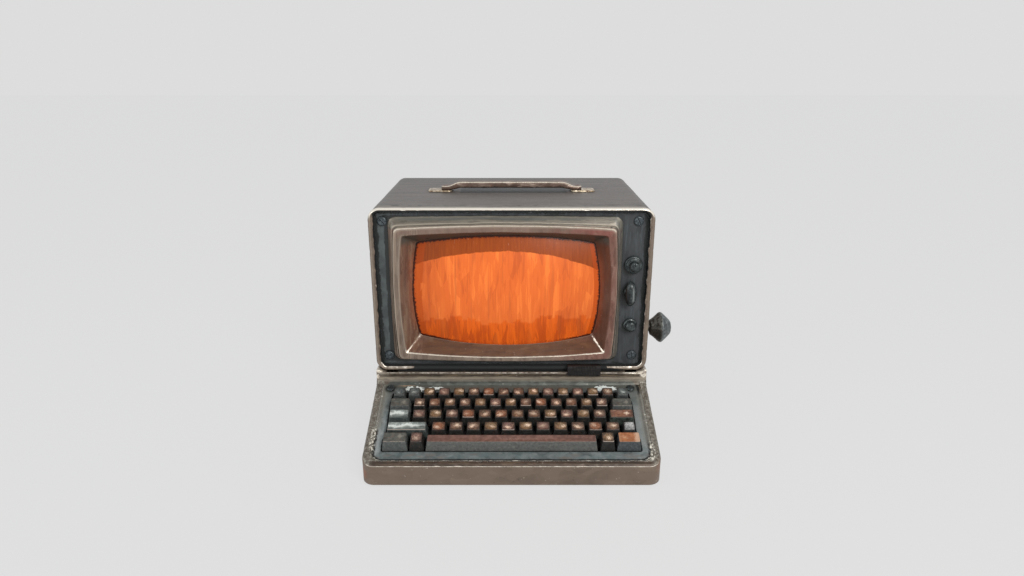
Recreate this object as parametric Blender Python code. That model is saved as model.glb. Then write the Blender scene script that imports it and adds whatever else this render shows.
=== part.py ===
"""Portable computer terminal: a rounded metal display case standing on a
wedge-fronted base that carries the keyboard.

Lengths below are millimetres in the terminal's own working frame, turned to
metres when a mesh is made: x = 0 on the case's centre line, y = 0 on the plane
of the case's front rim, z = 0 on the underside of the base. +Y runs to the
back. The root empty moves that frame so that the finished object stands on its
feet with the origin under the middle of its bounding box.
"""

import math

import bpy
from mathutils import Vector

MM = 0.001

# ---------------------------------------------------------------- dimensions
HALF_W = 165.0            # half width of the case and of the base
WALL = 3.0                # sheet and casting wall
GAP = 0.4                 # running gap round parts that fit into each other

CASE_BACK = 219.0
CASE_Z0, CASE_Z1 = 82.6, 284.5
CASE_R = 14.0             # corner radius, seen from the front
RIM = 6.0                 # width of the front rim
RIM_DEPTH = 10.0

PANEL_Y, PANEL_T = 8.0, 2.0

SCREEN_X, SCREEN_Z = -5.75, 180.0      # middle of the tube's face
LIP_HALF_W, LIP_HALF_H = 122.25, 73.5  # opening at the front of the funnel
FUNNEL_SLOPE = 0.66                    # inset per depth of the funnel's walls
FACE_NEAR = 1.4                        # how far back the glass is at its middle
FACE_RX, FACE_RZ = 460.0, 193.0        # radii of the glass, across and up
TUBE_HALF_W, TUBE_HALF_H = 122.0, 74.0

BASE_FRONT = -119.0
BASE_R = 14.0             # corner radius, seen from above
LEDGE_Z = 82.3            # top of the base under the case
RISER_Y = -4.5            # face between the keyboard slope and the ledge
SLOPE = math.atan(0.386)  # keyboard slope
SLOPE_Z = 71.43           # height of the sloped rim plane at y = 0
RIM_T = 6.4               # thickness of the sloped rim

DECK_HALF_W = 154.5       # recess for the keyboard deck
DECK_S0, DECK_S1 = -121.5, -4.0
DECK_DROP, DECK_T = 2.0, 2.0
WELL_HALF_W = 146.5       # opening that the keys stand in
WELL_S0, WELL_S1 = -107.7, -19.6

KEY_TOP, KEY_BOTTOM = 9.0, -3.5
KEY_TRAVEL = 3.5
TOP_HALF_D = 4.75         # half depth of a key's top
FRONT_TAPER, REAR_TAPER, SIDE_TAPER = 3.6, 2.2, 2.1
ROW_S = (-28.0, -44.7, -62.0, -80.3, -97.6)
# ordinary keys of rows 1 to 4: middle of the first one, pitch, how many
ROW_KEYS = ((-97.9, 17.7, 13), (-107.8, 17.8, 13), (-106.6, 18.95, 12), (-82.6, 19.75, 11))
KEY_SIDE_GAP = 1.4
# odd keys: name, row, left and right edge of the top
ODD_KEYS = (
    ("key_escape", 0, -139.4, -127.2),
    ("key_local", 0, -121.8, -109.6),
    ("key_delete", 0, 126.3, 138.0),
    ("key_tab", 1, -141.3, -120.2),
    ("key_backspace", 1, 118.9, 140.4),
    ("key_lock", 2, -140.5, -119.0),
    ("key_enter", 2, 114.0, 140.1),
    ("key_shift", 3, -140.2, -97.3),
    ("key_repeat", 3, 127.6, 139.4),
    ("key_control", 4, -142.8, -118.0),
    ("key_left_function", 4, -112.4, -100.0),
    ("space_bar", 4, -93.9, 94.1),
    ("key_right_function", 4, 101.4, 114.0),
    ("key_break", 4, 119.8, 142.9),
)
PLATE_N, PLATE_T = -10.0, 2.0      # switch plate under the keys
BOARD_N = -20.0                    # keyboard circuit board
STEM_BOTTOM = -15.5
STEM_D, SLOT_D = 3.0, 4.4

HANDLE_Y = 115.0
HANDLE_TOP = 12.5         # above the case
HANDLE_W, HANDLE_T = 18.0, 6.2
SHANK_X, SHANK_R = 84.5, 3.5
HANDLE_LIFT = 23.0

SIDE_Y, SIDE_Z = 33.0, 127.5           # side knob's axis
DIAL_X, DIAL_Z = 143.2, 216.2          # upper front knob
SELECTOR_X, SELECTOR_Z = 140.5, 182.4  # winged front knob
TRIM_X, TRIM_Z = 143.0, 140.5          # lower front knob
SHAFT_R, SHAFT_HOLE = 3.0, 3.35

FOOT_H = 3.0
FEET = ((-150.0, -100.0), (150.0, -100.0), (-150.0, 200.0), (150.0, 200.0))
SIDE_KNOB_END = 198.5

# ---------------------------------------------------------------- clear scene
for old in list(bpy.data.objects):
    bpy.data.objects.remove(old, do_unlink=True)

COLLECTION = bpy.context.scene.collection

ROOT = bpy.data.objects.new("terminal_frame", None)
ROOT.location = (
    -(SIDE_KNOB_END - HALF_W) / 2 * MM,
    -(CASE_BACK + BASE_FRONT) / 2 * MM,
    FOOT_H * MM,
)
COLLECTION.objects.link(ROOT)

# frame of the keyboard: local y runs up the slope, local z stands on it
KEYBOARD = bpy.data.objects.new("keyboard_frame", None)
KEYBOARD.parent = ROOT
KEYBOARD.location = (0, 0, SLOPE_Z * MM)
KEYBOARD.rotation_euler = (SLOPE, 0, 0)
COLLECTION.objects.link(KEYBOARD)


# ---------------------------------------------------------------- materials
def material(name, colour, roughness, metallic=0.0, alpha=1.0):
    made = bpy.data.materials.new(name)
    made.use_nodes = True
    shader = made.node_tree.nodes["Principled BSDF"]
    shader.inputs["Base Color"].default_value = (*colour, 1.0)
    shader.inputs["Roughness"].default_value = roughness
    shader.inputs["Metallic"].default_value = metallic
    shader.inputs["Alpha"].default_value = alpha
    return made


CASE_METAL = material("case_metal", (0.17, 0.145, 0.125), 0.45, 0.6)
BRIGHT = material("bright_metal", (0.62, 0.55, 0.46), 0.3, 1.0)
PANEL_PAINT = material("panel_paint", (0.055, 0.07, 0.08), 0.5, 0.3)
DECK_PAINT = material("deck_paint", (0.16, 0.2, 0.21), 0.5, 0.3)
BEZEL_METAL = material("bezel_metal", (0.2, 0.155, 0.13), 0.4, 0.6)
SCREEN = material("screen_glass", (0.85, 0.2, 0.04), 0.2)
KNOB = material("knob_metal", (0.05, 0.055, 0.055), 0.35, 0.6)
KEY_BROWN = material("key_brown", (0.16, 0.07, 0.045), 0.45)
KEY_GREY = material("key_grey", (0.11, 0.125, 0.125), 0.45)
KEY_ORANGE = material("key_orange", (0.5, 0.17, 0.06), 0.45)
RUBBER = material("rubber", (0.02, 0.02, 0.02), 0.85)
BOARD = material("circuit_board", (0.03, 0.12, 0.06), 0.6)
STEEL = material("plated_steel", (0.45, 0.45, 0.44), 0.4, 0.9)
COPPER = material("copper", (0.5, 0.22, 0.1), 0.35, 0.9)
DARK_PLASTIC = material("dark_plastic", (0.03, 0.03, 0.032), 0.5)


# ---------------------------------------------------------------- mesh tools
def add(name, verts, faces, mat, at=(0, 0, 0), parent=None, smooth=False):
    """Object from points in mm; its own origin goes to the point `at`."""
    origin = Vector(at)
    mesh = bpy.data.meshes.new(name)
    mesh.from_pydata([(Vector(v) - origin) * MM for v in verts], [], faces)
    mesh.validate()
    mesh.update()
    obj = bpy.data.objects.new(name, mesh)
    obj.parent = parent or ROOT
    obj.location = origin * MM
    COLLECTION.objects.link(obj)
    if mat:
        mesh.materials.append(mat)
    if smooth:
        mesh.shade_smooth()
        mesh.set_sharp_from_angle(angle=math.radians(40))
    return obj


def helper(obj):
    obj.hide_render = True
    obj.display_type = "WIRE"
    return obj


def boolean(obj, other, operation):
    helper(other)
    mod = obj.modifiers.new(other.name, "BOOLEAN")
    mod.operation = operation
    mod.solver = "EXACT"
    mod.object = other


def cut(obj, other):
    boolean(obj, other, "DIFFERENCE")


def join(obj, other):
    boolean(obj, other, "UNION")


def loft(rings, closed=False):
    """Skin over rings of equal length. Open lofts get two flat end faces."""
    n = len(rings[0])
    verts = [p for ring in rings for p in ring]
    faces = []
    count = len(rings)
    for i in range(count if closed else count - 1):
        a, b = i * n, ((i + 1) % count) * n
        for j in range(n):
            k = (j + 1) % n
            faces.append((a + j, a + k, b + k, b + j))
    if not closed:
        faces.append(tuple(reversed(range(n))))
        faces.append(tuple((count - 1) * n + j for j in range(n)))
    return verts, faces


def volume(verts, faces):
    total = 0.0
    for face in faces:
        a = Vector(verts[face[0]])
        for i in range(1, len(face) - 1):
            total += a.dot(Vector(verts[face[i]]).cross(Vector(verts[face[i + 1]])))
    return total


def solid(name, data, mat, **more):
    """Adds a closed skin, turned so that its faces point out."""
    verts, faces = data
    if volume(verts, faces) < 0:
        faces = [tuple(reversed(face)) for face in faces]
    return add(name, verts, faces, mat, **more)


def several(parts):
    """One point and face list from a few closed skins that don't touch."""
    verts, faces = [], []
    for v, f in parts:
        if volume(v, f) < 0:
            f = [tuple(reversed(face)) for face in f]
        start = len(verts)
        verts += list(v)
        faces += [tuple(start + i for i in face) for face in f]
    return verts, faces


def block(x0, x1, y0, y1, z0, z1):
    return loft([[(x0, y0, z), (x1, y0, z), (x1, y1, z), (x0, y1, z)] for z in (z0, z1)])


def rounded(a0, a1, b0, b1, r, corner=4, side=0):
    """Points round a rectangle with round corners, starting on its lower side.
    `side` extra points divide each straight run."""
    points = []
    centres = ((a1 - r, b0 + r, -90), (a1 - r, b1 - r, 0), (a0 + r, b1 - r, 90), (a0 + r, b0 + r, 180))
    for i, (ca, cb, start) in enumerate(centres):
        arc = [
            (ca + r * math.cos(math.radians(start + 90 * k / corner)),
             cb + r * math.sin(math.radians(start + 90 * k / corner)))
            for k in range(corner + 1)
        ]
        points += arc
        if side:
            na, nb, ns = centres[(i + 1) % 4]
            nxt = (na + r * math.cos(math.radians(ns)), nb + r * math.sin(math.radians(ns)))
            last = arc[-1]
            for k in range(1, side + 1):
                t = k / (side + 1)
                points.append((last[0] + (nxt[0] - last[0]) * t, last[1] + (nxt[1] - last[1]) * t))
    return points


def ring_y(points, y):
    return [(a, y, b) for a, b in points]


def ring_z(points, z):
    return [(a, b, z) for a, b in points]


def turned(profile, axis, centre, segments=16):
    """Turns (station, radius) pairs about a line along `axis` through centre."""
    rings = []
    for station, radius in profile:
        ring = []
        for k in range(segments):
            t = 2 * math.pi * (k + 0.5) / segments
            c, s = radius * math.cos(t), radius * math.sin(t)
            if axis == "x":
                ring.append((station, centre[0] + c, centre[1] + s))
            elif axis == "y":
                ring.append((centre[0] + c, station, centre[1] + s))
            else:
                ring.append((centre[0] + c, centre[1] + s, station))
        rings.append(ring)
    return rings


def rod(axis, centre, start, end, radius, segments=12):
    return loft(turned([(start, radius), (end, radius)], axis, centre, segments))


def depth_of_face(x, z):
    """Distance behind the rim plane of the tube's convex face."""
    return FACE_NEAR + (x - SCREEN_X) ** 2 / (2 * FACE_RX) + (z - SCREEN_Z) ** 2 / (2 * FACE_RZ)


# ---------------------------------------------------------------- display case
def case_ring(inset, y):
    return ring_y(
        rounded(-HALF_W + inset, HALF_W - inset, CASE_Z0 + inset, CASE_Z1 - inset,
                max(CASE_R - inset, 3.0), corner=5),
        y,
    )


case_shell = solid(
    "case_shell",
    loft(
        [
            case_ring(1.8, 0.0),
            case_ring(0.5, 0.5),
            case_ring(0.0, 1.8),
            case_ring(0.0, CASE_BACK - 1.5),
            case_ring(1.2, CASE_BACK),
            case_ring(WALL, CASE_BACK),
            case_ring(WALL, RIM_DEPTH),
            case_ring(RIM, RIM_DEPTH),
            case_ring(RIM, 1.2),
            case_ring(RIM - 1.2, 0.0),
        ],
        closed=True,
    ),
    CASE_METAL, smooth=True,
)
# posts inside the case that take the panel's and the rear cover's screws
SCREW_LX, SCREW_RX, SCREW_TOP, SCREW_LOW = -149.5, 147.0, 268.5, 101.0
posts = []
for x_in, x_out in ((-142.0, -163.0), (139.5, 163.0)):
    turn = math.copysign(12.5, x_out)
    for z_in, z_out in ((SCREW_TOP - 7, CASE_Z1 - WALL + 1), (SCREW_LOW + 7, CASE_Z0 + WALL - 1)):
        drop = math.copysign(12.0, z_out - z_in)
        section = [(x_in, z_in), (x_out, z_in), (x_out, z_out - drop), (x_out - turn, z_out), (x_in, z_out)]
        posts.append(loft([ring_y(section, y) for y in (PANEL_Y + PANEL_T + 0.3, 30.0)]))
REAR_Y = 213.0
REAR_SCREW_X, REAR_SCREW_Z = 152.0, 183.0
for side in (-1, 1):
    x0, x1 = sorted((side * 145.0, side * 163.0))
    posts.append(block(x0, x1, 196.0, REAR_Y - 0.3, REAR_SCREW_Z - 8, REAR_SCREW_Z + 8))
join(case_shell, solid("case_posts", several(posts), None))
PANEL_SCREWS = (
    (SCREW_LX, SCREW_TOP), (SCREW_RX, SCREW_TOP), (SCREW_LX, SCREW_LOW), (SCREW_RX, SCREW_LOW)
)
holes = [rod("y", (x, z), 9.0, 26.0, 2.5, 10) for x, z in PANEL_SCREWS]
holes += [rod("y", (s * REAR_SCREW_X, REAR_SCREW_Z), 200.0, 214.0, 2.5, 10) for s in (-1, 1)]
holes += [rod("z", (s * SHANK_X, HANDLE_Y), 278.0, 287.0, SHANK_R + GAP) for s in (-1, 1)]
holes.append(rod("x", (SIDE_Y, SIDE_Z), 158.0, 168.0, SHAFT_HOLE))
holes.append(block(-28, 28, 118, 158, 80, 88))     # cable passage to the base
LATCH_X, LATCH_TRAVEL = 88.0, 8.0
holes.append(block(LATCH_X - 13, LATCH_X + 13 + LATCH_TRAVEL, -3, 6.2, 84.0, 87.2))   # groove of the latch
cut(case_shell, solid("case_holes", several(holes), None))

# ---------------------------------------------------------------- front panel
INNER = RIM + GAP
front_panel = solid(
    "front_panel",
    loft([
        ring_y(rounded(-HALF_W + INNER, HALF_W - INNER, CASE_Z0 + INNER, CASE_Z1 - INNER, CASE_R - INNER), y)
        for y in (PANEL_Y, PANEL_Y + PANEL_T)
    ]),
    PANEL_PAINT,
)
TUBE_POSTS = ((-137.6, 245.0), (124.2, 245.0), (-137.6, 115.0), (124.2, 115.0))
POST_END = 33.7
join(front_panel, solid("panel_posts", several(
    [block(x - 3.5, x + 3.5, 9.0, POST_END, z - 4, z + 4) for x, z in TUBE_POSTS]), None))
openings = [loft([ring_y(rounded(-133.0, 119.5, 101.0, 259.0, 6.0), y) for y in (6.0, 12.0)])]
openings += [rod("y", (x, z), 6.0, 12.0, 2.6, 10) for x, z in PANEL_SCREWS]
for x, z in ((DIAL_X, DIAL_Z), (SELECTOR_X, SELECTOR_Z), (TRIM_X, TRIM_Z)):
    openings.append(rod("y", (x, z), 6.0, 12.0, SHAFT_HOLE))
cut(front_panel, solid("panel_openings", several(openings), None))

for index, (x, z) in enumerate(PANEL_SCREWS, 1):
    solid(
        "panel_screw_%d" % index,
        loft(turned([(5.0, 3.8), (5.6, 5.2), (7.7, 5.8), (7.7, 2.2), (22.0, 2.2)], "y", (x, z), 12)),
        KNOB, smooth=True,
    )


# ---------------------------------------------------------------- screen bezel
def frame_ring(left, right, low, high, r, y):
    return ring_y(rounded(left, right, low, high, r, corner=3, side=5), y)


def funnel_ring(clear, out, back):
    """Inner end of the funnel, which follows the curved glass."""
    ring = []
    flat = rounded(
        SCREEN_X - LIP_HALF_W, SCREEN_X + LIP_HALF_W, SCREEN_Z - LIP_HALF_H, SCREEN_Z + LIP_HALF_H,
        1.5, corner=3, side=5,
    )
    for x, z in flat:
        dx, dz = x - SCREEN_X, z - SCREEN_Z
        d = 14.0
        for _ in range(30):
            inset = FUNNEL_SLOPE * (d - 1.6)
            px = SCREEN_X + dx * (LIP_HALF_W - inset) / LIP_HALF_W
            pz = SCREEN_Z + dz * (LIP_HALF_H - inset) / LIP_HALF_H
            d = depth_of_face(px, pz) - clear
        grow_x = 1 + out / LIP_HALF_W
        grow_z = 1 + out / LIP_HALF_H
        ring.append((SCREEN_X + (px - SCREEN_X) * grow_x, d + back, SCREEN_Z + (pz - SCREEN_Z) * grow_z))
    return ring


LIP = (SCREEN_X - LIP_HALF_W, SCREEN_X + LIP_HALF_W, SCREEN_Z - LIP_HALF_H, SCREEN_Z + LIP_HALF_H)
solid(
    "screen_bezel",
    loft(
        [
            frame_ring(-143.0, 129.5, 92.5, 271.8, 9.0, PANEL_Y - 0.3),
            frame_ring(-143.0, 129.5, 92.5, 271.8, 9.0, 6.2),
            frame_ring(-137.4, 124.2, 97.6, 262.6, 6.0, 0.8),
            frame_ring(-136.0, 122.8, 99.0, 261.0, 5.0, 0.0),
            frame_ring(-129.5, 118.0, 105.0, 255.0, 2.5, 0.4),
            frame_ring(*LIP, 1.5, 1.6),
            funnel_ring(1.2, 0.0, 0.0),
            funnel_ring(1.2, 2.0, 1.0),
            frame_ring(LIP[0] + 1.6, LIP[1] - 1.6, LIP[2] + 1.6, LIP[3] - 1.6, 1.5, PANEL_Y - 0.3),
        ],
        closed=True,
    ),
    BEZEL_METAL, smooth=True,
)

# ---------------------------------------------------------------- picture tube
FLAT = rounded(-TUBE_HALF_W, TUBE_HALF_W, -TUBE_HALF_H, TUBE_HALF_H, 14.0, corner=4, side=3)


def tube_ring(half_w, half_h, y, roundness=0.0):
    """Section of the tube: rectangular near the face, round near the neck."""
    ring = []
    for a, b in FLAT:
        angle = math.atan2(b / TUBE_HALF_H, a / TUBE_HALF_W)
        ra, rb = half_w * a / TUBE_HALF_W, half_h * b / TUBE_HALF_H
        ca, cb = half_w * math.cos(angle), half_h * math.sin(angle)
        px = SCREEN_X + ra + (ca - ra) * roundness
        pz = SCREEN_Z + rb + (cb - rb) * roundness
        ring.append((px, depth_of_face(px, pz) if y is None else y, pz))
    return ring


def crt():
    rings = [
        tube_ring(12.0, 12.0, 188.0, 1.0),
        tube_ring(14.0, 14.0, 184.0, 1.0),
        tube_ring(14.0, 14.0, 132.0, 1.0),
        tube_ring(30.0, 27.0, 118.0, 0.95),
        tube_ring(66.0, 48.0, 94.0, 0.6),
        tube_ring(106.0, 66.0, 66.0, 0.2),
        tube_ring(120.5, 73.0, 50.0, 0.0),
        tube_ring(TUBE_HALF_W, TUBE_HALF_H, 36.0, 0.0),
        tube_ring(TUBE_HALF_W - 0.6, TUBE_HALF_H - 0.6, None),
        tube_ring(94.0, 57.0, None),
        tube_ring(62.0, 38.0, None),
        tube_ring(30.0, 18.0, None),
    ]
    verts, faces = loft(rings)
    return verts, faces


solid("picture_tube", crt(), SCREEN, smooth=True)


def band_ring(out, y):
    return ring_y(
        rounded(SCREEN_X - TUBE_HALF_W - out, SCREEN_X + TUBE_HALF_W + out,
                SCREEN_Z - TUBE_HALF_H - out, SCREEN_Z + TUBE_HALF_H + out, 14.0 + out, corner=3),
        y,
    )


tube_band = solid(
    "tube_band",
    loft([band_ring(3.0, 34.0), band_ring(3.0, 46.0), band_ring(0.5, 46.0), band_ring(0.5, 34.0)], closed=True),
    STEEL,
)
ears = []
for x, z in TUBE_POSTS:
    inner = SCREEN_X - TUBE_HALF_W - 1.8 if x < 0 else SCREEN_X + TUBE_HALF_W + 1.8
    x0, x1 = sorted((x + (-4.0 if x < 0 else 4.0), inner))
    ears.append(block(x0, x1, 34.6, 37.2, z - 5, z + 5))
join(tube_band, solid("band_ears", several(ears), None))

solid(
    "deflection_yoke",
    loft(
        turned(
            [(119.5, 41.0), (128.0, 38.0), (146.0, 25.0), (146.0, 15.0), (133.0, 15.6), (127.0, 22.5), (119.5, 32.5)],
            "y", (SCREEN_X, SCREEN_Z), 20,
        ),
        closed=True,
    ),
    COPPER, smooth=True,
)
solid("neck_board", block(SCREEN_X - 24, SCREEN_X + 24, 188.4, 190.0, SCREEN_Z - 26, SCREEN_Z + 22), BOARD)

# ---------------------------------------------------------------- rear cover
rear_cover = solid(
    "rear_cover",
    loft([
        ring_y(rounded(-HALF_W + WALL + GAP, HALF_W - WALL - GAP, CASE_Z0 + WALL + GAP, CASE_Z1 - WALL - GAP,
                       CASE_R - WALL - GAP), y)
        for y in (REAR_Y, REAR_Y + 2.5)
    ]),
    CASE_METAL,
)
vents = []
for row_z in (222.0, 128.0):
    for k in range(12):
        x = -99.0 + 18.0 * k
        vents.append(block(x - 2.5, x + 2.5, REAR_Y - 2, REAR_Y + 5, row_z - 18, row_z + 18))
vents += [rod("y", (s * REAR_SCREW_X, REAR_SCREW_Z), REAR_Y - 2, REAR_Y + 5, 2.6, 10) for s in (-1, 1)]
cut(rear_cover, solid("rear_vents", several(vents), None))
for index, side in enumerate((-1, 1), 1):
    solid(
        "rear_screw_%d" % index,
        loft(turned([(203.0, 2.2), (215.8, 2.2), (215.8, 5.0), (217.6, 4.5), (218.2, 3.4)],
                    "y", (side * REAR_SCREW_X, REAR_SCREW_Z), 12)),
        KNOB, smooth=True,
    )


# ---------------------------------------------------------------- base tub
def slope_z(y, n=0.0):
    return SLOPE_Z + y * math.tan(SLOPE) + n / math.cos(SLOPE)


def wedge(half_w, front, back, r, bottom, n, riser, ledge):
    """Rounded plan with a sloped front part, a riser and a flat rear part.
    Every face is flat, so the skin is exact."""
    def arc(cx, cy, start):
        return [
            (cx + r * math.cos(math.radians(start + 90 * k / 5)), cy + r * math.sin(math.radians(start + 90 * k / 5)))
            for k in range(6)
        ]

    fr = arc(half_w - r, front + r, -90)     # front right, ends at (half_w, front + r)
    br = arc(half_w - r, back - r, 0)
    bl = arc(-half_w + r, back - r, 90)
    fl = arc(-half_w + r, front + r, 180)
    outline = fr + [(half_w, riser)] + br + bl + [(-half_w, riser)] + fl
    m = len(outline)
    right, left = 6, 19                      # indices of the two riser points
    verts = [(x, y, bottom) for x, y in outline]
    top = []
    for i, (x, y) in enumerate(outline):
        low = i <= right or i >= left
        top.append(len(verts))
        verts.append((x, y, slope_z(y, n) if low else ledge))
    up_r = len(verts)
    verts.append((half_w, riser, ledge))
    up_l = len(verts)
    verts.append((-half_w, riser, ledge))
    faces = [tuple(reversed(range(m)))]
    for i in range(m):
        j = (i + 1) % m
        if i == right:
            faces.append((i, j, top[j], up_r, top[i]))
        elif i == left - 1:
            faces.append((i, j, top[j], up_l, top[i]))
        else:
            faces.append((i, j, top[j], top[i]))
    faces.append(tuple(top[i] for i in list(range(left, m)) + list(range(0, right + 1))))
    faces.append((top[right], up_r, up_l, top[left]))
    faces.append(tuple([up_r] + [top[i] for i in range(right + 1, left)] + [up_l]))
    return verts, faces


base_tub = solid(
    "base_tub",
    wedge(HALF_W, BASE_FRONT, CASE_BACK, BASE_R, 0.0, 0.0, RISER_Y, LEDGE_Z),
    CASE_METAL, smooth=True,
)
# rounding: full on the upper rim, less on the riser and round the underside
weights = base_tub.data.attributes.new("bevel_weight_edge", "FLOAT", "EDGE")
for edge in base_tub.data.edges:
    a, b = (base_tub.data.vertices[i].co / MM for i in edge.vertices)
    level = abs(a.z - b.z) < 0.01
    across = level and abs(abs(a.x - b.x) - 2 * HALF_W) < 0.01
    if a.z < 0.01 and b.z < 0.01:
        weight = 0.35
    elif across or (abs(a.y - RISER_Y) < 0.01 and abs(b.y - RISER_Y) < 0.01):
        weight = 0.3
    elif min(a.z, b.z) < 0.01:
        weight = 0.0
    else:
        weight = 1.0
    weights.data[edge.index].value = weight
edges = base_tub.modifiers.new("edges", "BEVEL")
edges.width = 3.4 * MM
edges.segments = 2
edges.limit_method = "WEIGHT"
cut(base_tub, solid(
    "base_hollow",
    wedge(HALF_W - WALL, BASE_FRONT + WALL, CASE_BACK - WALL, BASE_R - WALL, -4.0, -RIM_T, 1.5, LEDGE_Z - WALL),
    None,
))
bosses = []
for x, y in FEET:
    x0, x1 = sorted((x - math.copysign(6, x), math.copysign(163.0, x)))
    bosses.append(block(x0, x1, y - 6, y + 6, 3.3, 20.0))
join(base_tub, solid("base_bosses", several(bosses), None))
base_cuts = [rod("z", foot, 2.0, 14.0, 2.8, 10) for foot in FEET]
base_cuts.append(block(-30, 30, 116, 160, 76, 86))                      # cable passage to the case
INLET = (-120.0, -90.0, 30.0, 53.0)
DATA = (20.0, 76.0, 33.0, 49.0)
base_cuts.append(block(INLET[0], INLET[1], 212, 223, INLET[2], INLET[3]))
base_cuts.append(block(DATA[0], DATA[1], 212, 223, DATA[2], DATA[3]))
cut(base_tub, solid("base_cuts", several(base_cuts), None))
deck_cutter = solid("deck_recess", block(-DECK_HALF_W, DECK_HALF_W, DECK_S0, DECK_S1, -4.3, 16.0), None, parent=KEYBOARD)
cut(base_tub, deck_cutter)
well_cutter = solid("deck_well", block(-149.5, 149.5, DECK_S0 + 5, DECK_S1 - 7, -14.0, 0.0), None, parent=KEYBOARD)
cut(base_tub, well_cutter)
DECK_SCREWS = ((-147.0, -13.2), (144.5, -13.2))
# lugs under the deck's rear corners that take its two screws
lugs = solid(
    "deck_lugs",
    several([block(*sorted((math.copysign(139.5, x), math.copysign(152.0, x))), -18.6, -8.5, -8.6, -4.9)
             for x, s in DECK_SCREWS]),
    None, parent=KEYBOARD,
)
join(base_tub, lugs)
lug_holes = solid(
    "lug_holes", several([rod("z", (x, s), -12, 0, 2.3, 10) for x, s in DECK_SCREWS]), None, parent=KEYBOARD,
)
cut(base_tub, lug_holes)

# ---------------------------------------------------------------- base plate, feet
base_plate = solid(
    "base_plate",
    loft([
        ring_z(rounded(-HALF_W + WALL + GAP, HALF_W - WALL - GAP, BASE_FRONT + WALL + GAP, CASE_BACK - WALL - GAP,
                       BASE_R - WALL - GAP), z)
        for z in (0.5, 3.0)
    ]),
    STEEL,
)
BOARD_POSTS = ((-130.0, 40.0), (45.0, 40.0), (-130.0, 185.0), (45.0, 185.0))
join(base_plate, solid("plate_posts", several(
    [block(x - 4, x + 4, y - 4, y + 4, 2.0, 13.7) for x, y in BOARD_POSTS]), None))
cut(base_plate, solid("plate_holes", several([rod("z", foot, -1.0, 5.0, 2.8, 10) for foot in FEET]), None))
for index, foot in enumerate(FEET, 1):
    solid(
        "foot_%d" % index,
        loft(turned([(-FOOT_H, 8.0), (0.2, 9.0), (0.2, 2.5), (12.0, 2.5)], "z", foot, 16)),
        RUBBER, smooth=True,
    )

# ---------------------------------------------------------------- boards and supply in the base
solid("main_board", block(-140, 55, 28, 198, 14.0, 15.6), BOARD)
supply = solid("power_transformer", block(72, 142, 92, 162, 3.3, 47.0), STEEL)
join(supply, solid("transformer_coil", block(84, 130, 80, 174, 12.0, 40.0), None))
transformer = solid("line_transformer", block(60, 104, 150, 190, 86.0, 134.0), DARK_PLASTIC)
join(transformer, solid("line_coil", rod("x", (170.0, 112.0), 50, 114, 13.0, 12), None))

inlet = solid(
    "power_inlet",
    block(INLET[0] + 0.3, INLET[1] - 0.3, 198.0, 218.8, INLET[2] + 0.3, INLET[3] - 0.3),
    DARK_PLASTIC,
)
cut(inlet, solid("inlet_recess", block(-117.0, -93.0, 203.5, 223.0, 33.0, 50.0), None))
join(inlet, solid("inlet_pins", several([
    block(-112.6, -110.6, 202.0, 208.0, 37.0, 42.0),
    block(-99.4, -97.4, 202.0, 208.0, 37.0, 42.0),
    block(-106.0, -104.0, 202.0, 208.0, 42.0, 47.0),
]), None))
socket = solid(
    "data_socket", block(DATA[0] + 0.3, DATA[1] - 0.3, 204.0, 218.8, DATA[2] + 0.3, DATA[3] - 0.3), STEEL,
)


def d_shape(grow, y0, y1):
    cx, cz = (DATA[0] + DATA[1]) / 2, (DATA[2] + DATA[3]) / 2
    points = [(cx - 18 - grow, cz - 4 - grow), (cx + 18 + grow, cz - 4 - grow),
              (cx + 20 + grow, cz + 4 + grow), (cx - 20 - grow, cz + 4 + grow)]
    return loft([ring_y(points, y) for y in (y0, y1)])


cut(socket, solid("socket_recess", d_shape(1.2, 213.0, 223.0), None))
join(socket, solid("socket_tongue", d_shape(-0.6, 211.0, 217.2), None))

# ---------------------------------------------------------------- keyboard deck and switch plate
deck = solid(
    "keyboard_deck",
    block(-DECK_HALF_W + GAP, DECK_HALF_W - GAP, DECK_S0 + GAP, DECK_S1 - GAP, -DECK_DROP - DECK_T, -DECK_DROP),
    DECK_PAINT, parent=KEYBOARD,
)
DECK_POSTS = ((-100.0, -15.6), (100.0, -15.6), (-100.0, -112.0), (100.0, -112.0))
join(deck, solid("deck_posts", several(
    [block(x - 3, x + 3, s - 2.2, s + 2.2, PLATE_N + 0.3, -3.0) for x, s in DECK_POSTS]), None, parent=KEYBOARD))
deck_cuts = [loft([ring_z(rounded(-WELL_HALF_W, WELL_HALF_W, WELL_S0, WELL_S1, 3.0, corner=3), n) for n in (-6.0, 0.0)])]
deck_cuts += [rod("z", (x, s), -6, 0, 2.4, 10) for x, s in DECK_SCREWS]
cut(deck, solid("deck_cuts", several(deck_cuts), None, parent=KEYBOARD))
for index, (x, s) in enumerate(DECK_SCREWS, 1):
    solid(
        "deck_screw_%d" % index,
        loft(turned([(-9.5, 2.0), (-1.7, 2.0), (-1.7, 5.0), (-0.4, 4.6), (0.3, 3.4)], "z", (x, s), 12)),
        KNOB, parent=KEYBOARD, smooth=True,
    )

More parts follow.
